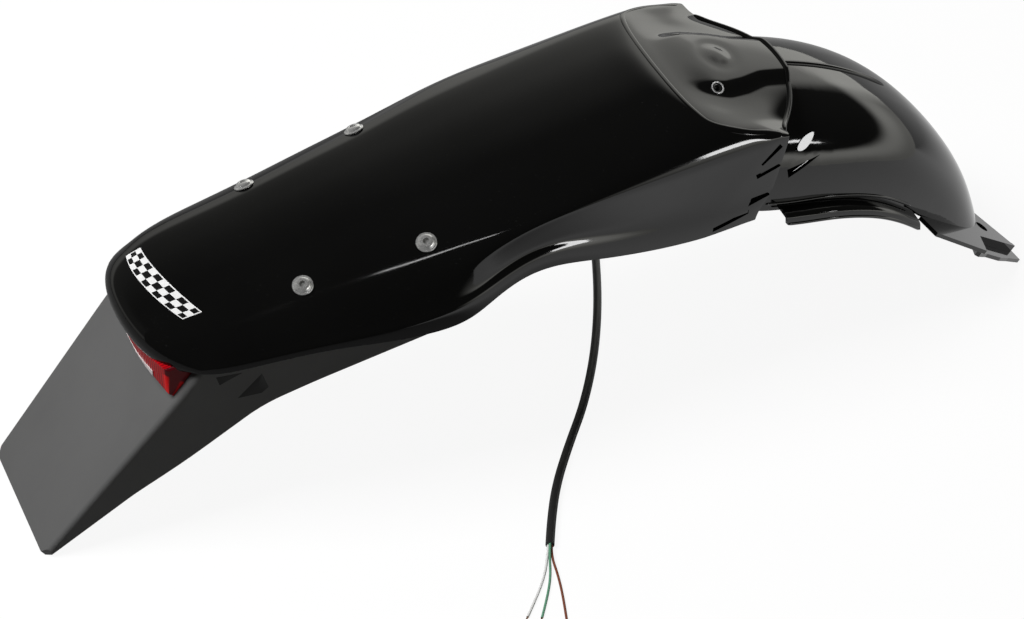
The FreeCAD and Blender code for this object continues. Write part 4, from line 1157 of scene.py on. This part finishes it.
@dataclass
class MudguardTrim:
    """Rib along the mudguard's middle and beads along the lower edges of its walls and rails."""

    power: float = 2.4
    rib: tuple[float, float] = (2.8, 6.5)
    rib_section: tuple[float, float] = (2.2, 1.7)
    rib_taper: float = 0.16
    wall_span: tuple[float, float] = (1.7, 7.3)
    wall_section: tuple[float, float] = (1.5, 1.2)
    wall_inset: float = 0.5
    rail_span: tuple[float, float] = (0.21, 0.68)
    rail_section: tuple[float, float] = (1.4, 1.3)
    rail_lift: tuple[float, float] = (4.6, 1.4)
    rail_edge: tuple[float, float] = (-12.0, -7.4)
    edge_taper: float = 0.03
    steps: int = 120

    def net(self) -> Net:
        """Net of the mudguard's outer skin: a rounded section of half width and depth, square to its line."""
        rows = np.array(MUDGUARD_ROWS)
        ends = np.concatenate([rows[:1], rows, rows[-1:]])
        run = unit(ends[2:, :2] - ends[:-2, :2])
        theta = np.radians((0.0, 13.0, 27.0, 41.0, 54.0, 66.0, 77.0, 90.0))
        across = rows[:, 2:3] * np.sin(theta) ** (2.0 / self.power)
        drop = rows[:, 3:4] * (1.0 - np.maximum(np.cos(theta), 0.0) ** (2.0 / self.power))
        s = rows[:, 0:1] + run[:, 1:2] * drop
        z = rows[:, 1:2] - run[:, 0:1] * drop
        return Net(mirrored_rows(np.stack([s, across, z], axis=-1)))

    def edge(self, path: Array, section: tuple[float, float], taper: float) -> MeshPiece:
        """Bead along a path that runs fore and aft, its width across the part."""
        across = np.broadcast_to((0.0, 1.0, 0.0), path.shape)
        lift = unit(np.cross(np.gradient(path, axis=0), across))
        return bead(path, across, lift, *section, taper)

    def build(self) -> None:
        """Builds the trim as one piece."""
        net = self.net()
        last_u, last_v = net.spans()
        u = np.linspace(*self.rib, 90)
        pieces = [self.edge(net.along(u, np.full(90, 0.5 * last_v)), self.rib_section, self.rib_taper)]
        share = np.linspace(0.0, 1.0, self.steps)
        wall = net.along(np.linspace(*self.wall_span, self.steps), np.full(self.steps, last_v * 0.992))
        first, last = self.rail_span
        rail = net.along(last_u * (first + (last - first) * share), np.full(self.steps, last_v))
        lift = self.rail_lift[0] + (self.rail_lift[1] - self.rail_lift[0]) * share
        out, down = self.rail_edge
        rail = rail + np.stack([0.0 * share, 0.0 * share + out, lift + down], axis=-1)
        wall = wall + (0.0, self.wall_inset, 0.0)
        for path, section in ((wall, self.wall_section), (rail, self.rail_section)):
            piece = self.edge(path, section, self.edge_taper)
            pieces += [piece, piece.mirrored()]
        MeshPiece.joined(pieces).build("mudguard_trim", MUDGUARD_BLACK.material(), "mudguard_plastic")


@dataclass
class CornerPocket:
    """Blind pocket behind the three-cornered opening in each of the mudguard's walls."""

    outline: tuple[tuple[float, float, float], ...] = (
        (523.5, -70.5, 156.8), (550.4, -66.9, 158.5), (523.8, -72.4, 151.0))
    outer_scale: float = 1.75
    inner_scale: float = 1.6
    mouth: float = 3.8
    floor: float = 15.0
    wall: float = 1.6

    def build(self) -> None:
        """Builds both pockets: the outline, enlarged a little, carried round the section of a blind box."""
        outer, inner, back = self.outer_scale, self.inner_scale, self.floor + self.wall
        rows = ((outer, self.mouth), (outer, back), (0.0, back), (0.0, self.floor), (inner, self.floor),
                (inner, self.mouth), (outer, self.mouth))
        grid = STANCE.point(carried(stepped(self.outline), rows, (0.0, 1.0, 0.0)))
        both_sides([grid]).build("corner_pockets", POCKET_AND_SHADOW_BLACK.material(), "mudguard_plastic")


@dataclass
class ShoulderPads:
    """Flat leaf-shaped pad on each shoulder of the mudguard, in the part's own frame."""

    outline: tuple[tuple[float, float, float], ...] = (
        (171.5, -66.1, 168.4), (174.4, -63.1, 171.2), (179.6, -60.2, 173.3), (184.6, -58.6, 173.8),
        (189.3, -57.7, 173.6), (187.2, -60.5, 170.9), (182.0, -64.1, 168.0), (175.9, -66.5, 166.8))
    normal: tuple[float, float, float] = (0.172, -0.756, 0.632)
    rows: tuple[tuple[float, float], ...] = (
        (0.0, 0.0), (0.5, 0.0), (0.98, 0.0), (1.0, -0.3), (1.05, -3.2), (0.0, -3.2))

    def build(self) -> None:
        """Builds both pads: the outline, averaged and laid flat, carried over its edge into the shoulder."""
        ring = np.mean([np.roll(stepped(self.outline), shift, axis=0) for shift in range(-4, 5)], axis=0)
        up = unit(np.array(self.normal))
        ring = ring - ((ring - ring.mean(axis=0)) @ up)[:, None] * up
        grid = carried(ring, self.rows, up) * MM
        both_sides([grid]).build("shoulder_pads", MUDGUARD_BLACK.material(), "mudguard_plastic")


@dataclass
class SideShadowPanels:
    """Painted shade: black panels set into each of the holder's side walls under the fender's rim, standing a
    little proud, in place of the shaded recesses there; in the part's frame.
    """

    outlines: tuple[tuple[tuple[float, float], ...], ...] = (
        ((-240.6, 123.0), (-223.0, 120.6), (-231.0, 118.2), (-238.8, 115.6)),
        ((-210.2, 115.0), (-206.6, 101.5), (-211.5, 98.0), (-228.0, 99.6)))
    wall: tuple[float, float] = (-67.0, -0.015)
    proud: float = 0.25
    depth: float = 0.9
    bevel: float = 0.94

    def panel(self, outline: tuple[tuple[float, float], ...]) -> Array:
        """Grid of one panel: its outline on the slanting wall, carried over its edge and behind the face."""
        corners = [(x, self.wall[0] + self.wall[1] * x, z) for x, z in outline]
        rows = ((0.0, -self.proud), (self.bevel, -self.proud), (1.0, 0.0), (1.0, self.depth),
                (0.0, self.depth))
        return carried(stepped(corners), rows, (0.0, 1.0, 0.0)) * MM

    def build(self) -> None:
        """Builds the panels of both walls as one piece."""
        piece = both_sides([self.panel(outline) for outline in self.outlines])
        piece.build("side_shadow_panels", POCKET_AND_SHADOW_BLACK.material(), "holder_plastic")


@dataclass
class LampCable:
    """The lamp's cable on the floor, with its three wires."""

    diameter: float = 6.0
    length: float = 0.772
    wire_diameter: float = 1.7
    exit_run: float = 29.0
    wire_exit: float = 9.0
    grommet_length: float = 10.0
    grommet_overlap: float = 0.3
    lamp_centre: tuple[float, float, float] = (101.4, 0.0, 115.5)
    ramp_run: tuple[float, float, float] = (54.0, 0.0, 61.0)
    route: tuple[tuple[float, float, float], ...] = (
        (158.0, 5.0, 74.0), (184.0, 14.0, 48.0), (214.0, 28.0, 26.0), (250.0, 48.0, 9.0), (290.0, 74.0, 3.05),
        (334.0, 101.5, 3.05), (378.0, 126.0, 3.05), (418.0, 139.0, 3.05), (450.0, 135.0, 3.05),
        (466.0, 107.0, 3.05), (453.0, 72.0, 3.05), (430.0, 18.0, 3.05), (404.0, -31.0, 3.05),
        (376.0, -73.0, 3.05), (350.0, -104.0, 3.05), (326.0, -135.0, 3.05), (308.0, -166.0, 3.05),
        (300.0, -182.0, 3.05))

    def sheath_points(self) -> Array:
        """Route of the sheath in the row frame, straight out of the grommet first."""
        along = STANCE.direction(self.ramp_run)
        into = -np.array((-along[2], 0.0, along[0]))
        start = STANCE.point(self.lamp_centre) + into * (self.grommet_length - self.grommet_overlap) * MM
        return np.concatenate([[start, start + into * self.exit_run * MM], STANCE.floor_point(self.route)])

    @staticmethod
    def curve(name: str, points: Array, diameter: float, material: bpy.types.Material) -> bpy.types.Object:
        """Round cord on a smooth spline with the route's points as its control points."""
        data = bpy.data.curves.new(name, "CURVE")
        data.dimensions = "3D"
        data.bevel_depth = 0.5 * diameter * MM
        data.bevel_resolution = 6
        data.use_fill_caps = True
        data.resolution_u = 10
        spline = data.splines.new("NURBS")
        spline.points.add(len(points) - 1)
        spline.points.foreach_set("co", np.column_stack([points, np.ones(len(points))]).ravel())
        spline.order_u = 3
        spline.use_endpoint_u = True
        data.materials.append(material)
        return bpy.data.objects.new(name, data)

    def build(self) -> None:
        """Builds the sheath and its wires in place of their solids."""
        points = self.sheath_points()
        sheath = self.curve("lamp_cable", points, self.diameter, CABLE_BLACK.material())
        tied(sheath, "cable_sheath")
        way = unit(points[-1] - points[-2])
        side = np.cross(way, (0.0, 0.0, 1.0))
        up = np.array((0.0, 0.0, 1.0))
        for node, finish, slot, (across, lift), length, route in WIRES:
            root = points[-1] + (side * -across + up * lift) * MM
            line = np.concatenate([[root, root + way * self.wire_exit * MM], STANCE.floor_point(route)])
            wire = self.curve(f"lamp_{node}", line, self.wire_diameter, finish.material())
            tied(wire, node)


@dataclass(frozen=True)
class SoftBox:
    """Rectangular lamp seen from a point on the part in a direction (azimuth from +X, elevation, in degrees).

    A gleam shows in reflections only, and any other lamp lights the surfaces only.
    """

    name: str
    target: tuple[float, float, float]
    azimuth: float
    elevation: float
    distance: float
    size: tuple[float, float]
    power: float
    gleam: bool = True

    def build(self) -> None:
        """Hangs the lamp so that it faces its target."""
        a, e = math.radians(self.azimuth), math.radians(self.elevation)
        way = Vector((math.cos(e) * math.cos(a), math.cos(e) * math.sin(a), math.sin(e)))
        data = bpy.data.lights.new(self.name, "AREA")
        data.shape = "RECTANGLE"
        data.size, data.size_y = self.size
        data.energy = self.power
        made = bpy.data.objects.new(self.name, data)
        made.location = Vector(self.target) + self.distance * way
        made.rotation_euler = (-way).to_track_quat("-Z", "Y").to_euler()
        made.visible_glossy = self.gleam
        made.visible_diffuse = not self.gleam
        bpy.context.scene.collection.objects.link(made)


@dataclass
class Studio:
    """Camera at the photograph's place, white ground, plain soft light."""

    azimuth: float = 24.17
    elevation: float = 42.70
    focal_pixels: float = 2877.72
    image_width: float = 1024.0
    sensor: float = 36.0
    eye: tuple[float, float, float] = (-245.23, -1336.36, 1386.49)
    floor_white: float = 0.92
    floor_grey: float = 0.14
    floor_half: float = 6.0
    mirror_along: tuple[float, float, float, float] = (0.0, 0.16, 0.04, 0.88)
    mirror_across: tuple[float, float, float, float] = (-0.05, 0.25, 1.0, 0.35)
    clip_end: float = 50.0
    sky_colour: Colour = (1.0, 0.995, 0.94, 1.0)
    sky_dim: float = 0.045
    panel_arc: tuple[float, float, float, float] = (26.0, 36.0, 55.0, 92.0)
    panel_rest: float = 0.05
    panel_top: tuple[float, float] = (33.0, 54.0)
    panel_level: float = 1.15
    band_arc: tuple[float, float, float, float] = (-78.0, -62.0, 12.0, 60.0)
    band_rest: float = 0.2
    band_fade: tuple[float, float] = (-50.0, 10.0)
    band_levels: tuple[float, float] = (2.2, 1.5)
    band_top: tuple[float, float] = (10.0, 16.0)
    band_foot: float = 9.0
    band_foot_level: float = 0.5
    boxes: tuple[SoftBox, ...] = (
        SoftBox("fill_box", (0.0, 0.0, 0.1), 165.0, 55.0, 3.0, (1.4, 1.4), 104.0, False),
        SoftBox("waist_box", (0.0011, -0.0824, 0.1638), -62.0, 15.0, 1.6, (0.24, 0.18), 2.31),
        SoftBox("leaf_box", (0.1808, -0.0612, 0.1704), -40.8, 24.6, 1.6, (0.11, 0.11), 0.65),
        SoftBox("crease_box", (-0.1105, -0.0691, 0.174), -106.0, 72.0, 2.0, (0.09, 0.05), 0.13),
    )

    def camera(self) -> None:
        """Camera turned by azimuth and elevation, then with the part's own small turn."""
        a, e = math.radians(self.azimuth), math.radians(self.elevation)
        right = STANCE.direction((math.cos(a), -math.sin(a), 0.0))
        up = STANCE.direction((math.sin(a) * math.sin(e), math.cos(a) * math.sin(e), math.cos(e)))
        back = STANCE.direction((-math.sin(a) * math.cos(e), -math.cos(a) * math.cos(e), math.sin(e)))
        data = bpy.data.cameras.new("camera")
        data.sensor_width = self.sensor
        data.sensor_fit = "HORIZONTAL"
        data.lens = self.focal_pixels * self.sensor / self.image_width
        data.clip_end = self.clip_end
        made = bpy.data.objects.new("camera", data)
        turn = Matrix((right, up, back)).transposed().to_4x4()
        made.matrix_world = Matrix.Translation(Vector(STANCE.point(self.eye))) @ turn
        bpy.context.scene.collection.objects.link(made)
        bpy.context.scene.camera = made

    def ground(self) -> None:
        """Pale floor that stays white behind the part and keeps its shadow."""
        corners = self.floor_half * np.array(((-1, -1, 0), (1, -1, 0), (1, 1, 0), (-1, 1, 0)))
        mesh = bpy.data.meshes.new("floor")
        mesh.from_pydata(corners.tolist(), [], [(0, 1, 2, 3)])
        material = bpy.data.materials.new("pale_floor")
        sh = Shader(material)
        colour = sh.mix(sh.ray("Camera"), grey(self.floor_grey), grey(1.0))
        body = sh.node("ShaderNodeBsdfPrincipled", None, {"Base Color": colour, "Roughness": 0.9,
                                                          "Specular IOR Level": 0.0})
        white = sh.node("ShaderNodeEmission", None, {"Color": grey(1.0), "Strength": 1.0})
        mixed = sh.node("ShaderNodeMixShader", None, {0: self.seen(sh), 1: body, 2: white})
        sh.node("ShaderNodeOutputMaterial", None, {"Surface": mixed})
        mesh.materials.append(material)
        floor = bpy.data.objects.new("floor", mesh)
        bpy.context.scene.collection.objects.link(floor)

    def seen(self, sh: Shader) -> Signal:
        """Whiteness of the floor: high for camera rays; in reflections a painted reflection brightness that
        rises along the part and falls across it; else none.
        """
        along, across = sh.axes(sh.place(), "XY")
        painted_reflection = along.between(*self.mirror_along) * across.between(*self.mirror_across)
        mirrored = sh.ray("Glossy").math("MAXIMUM", sh.ray("Transmission")) * painted_reflection
        return (sh.ray("Camera") * self.floor_white).math("MAXIMUM", mirrored)

    @staticmethod
    def arc(turn: Signal, span: tuple[float, float, float, float], rest: float) -> Signal:
        """Soft patch over azimuth: up over the span's first two angles, down to the rest over the others."""
        a, b, c, d = (math.radians(angle) for angle in span)
        return turn.between(a, b) * turn.between(c, d, 1.0, rest)

    @staticmethod
    def rising(height: Signal, angles: tuple[float, float], first: float, last: float) -> Signal:
        """Soft change from first to last between two angles over the horizon."""
        low, high = (math.sin(math.radians(angle)) for angle in angles)
        return height.between(low, high, first, last)

    def sky(self) -> None:
        """World: a tall bright panel behind on the right, a low bright band in front of it, else dark."""
        world = bpy.data.worlds.new("studio")
        bpy.context.scene.world = world
        sh = Shader(world)
        way = sh.node("ShaderNodeTexCoord", output="Generated")
        x, y, z = sh.axes(way, "XYZ")
        turn = y.math("ARCTAN2", x)
        panel = self.arc(turn, self.panel_arc, self.panel_rest)
        panel = panel * self.rising(z, self.panel_top, self.panel_level, 0.0)
        fade = turn.between(*(math.radians(angle) for angle in self.band_fade), *self.band_levels)
        band = self.arc(turn, self.band_arc, self.band_rest) * fade * self.rising(z, self.band_top, 1.0, 0.0)
        band = band * self.rising(z, (0.0, self.band_foot), self.band_foot_level, 1.0)
        strength = panel + band + self.sky_dim
        light = sh.node("ShaderNodeBackground", None, {"Color": self.sky_colour, "Strength": strength})
        seen = sh.node("ShaderNodeBackground", None, {"Color": grey(1.0), "Strength": 1.0})
        mixed = sh.node("ShaderNodeMixShader", None, {0: sh.ray("Camera"), 1: light, 2: seen})
        sh.node("ShaderNodeOutputWorld", None, {"Surface": mixed})

    def build(self) -> None:
        """Sets up camera, floor, world and lamps."""
        bpy.context.scene.view_settings.view_transform = "Standard"
        self.camera()
        self.ground()
        self.sky()
        for box in self.boxes:
            box.build()


def dress_solids() -> None:
    """Gives the solids that stay shown their finishes, by the kind of node."""
    finishes = {
        "inner_mudguard": MUDGUARD_BLACK, "plate_holder": HOLDER_GRAIN, "lamp_board": BOARD_GREEN,
        "lamp_led": LIGHT_SOURCE, "fender_nut": ZINC, "cable_grommet": RUBBER_BLACK, "wire_white_tip": COPPER,
        "wire_green_tip": COPPER, "wire_brown_tip": COPPER,
    }
    for kind, finish in finishes.items():
        material = finish.material()
        for node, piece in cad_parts.items():
            if node.startswith(kind):
                piece.data.materials.clear()
                piece.data.materials.append(material)


def main() -> None:
    """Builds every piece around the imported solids."""
    logging.basicConfig(level=logging.INFO)
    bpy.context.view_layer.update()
    Studio().build()
    LampCable().build()
    dress_solids()
    skin = FenderSkin()
    for piece in (skin, FrontBead(skin), CreaseLine(skin), TailCheck(skin), ScrewSet(skin), RivetSet(skin),
                  TailLens(), MudguardTrim(), CornerPocket(), ShoulderPads(), SideShadowPanels()):
        piece.build()
        LOG.info("built %s", type(piece).__name__)


if __name__ == "__main__":
    main()
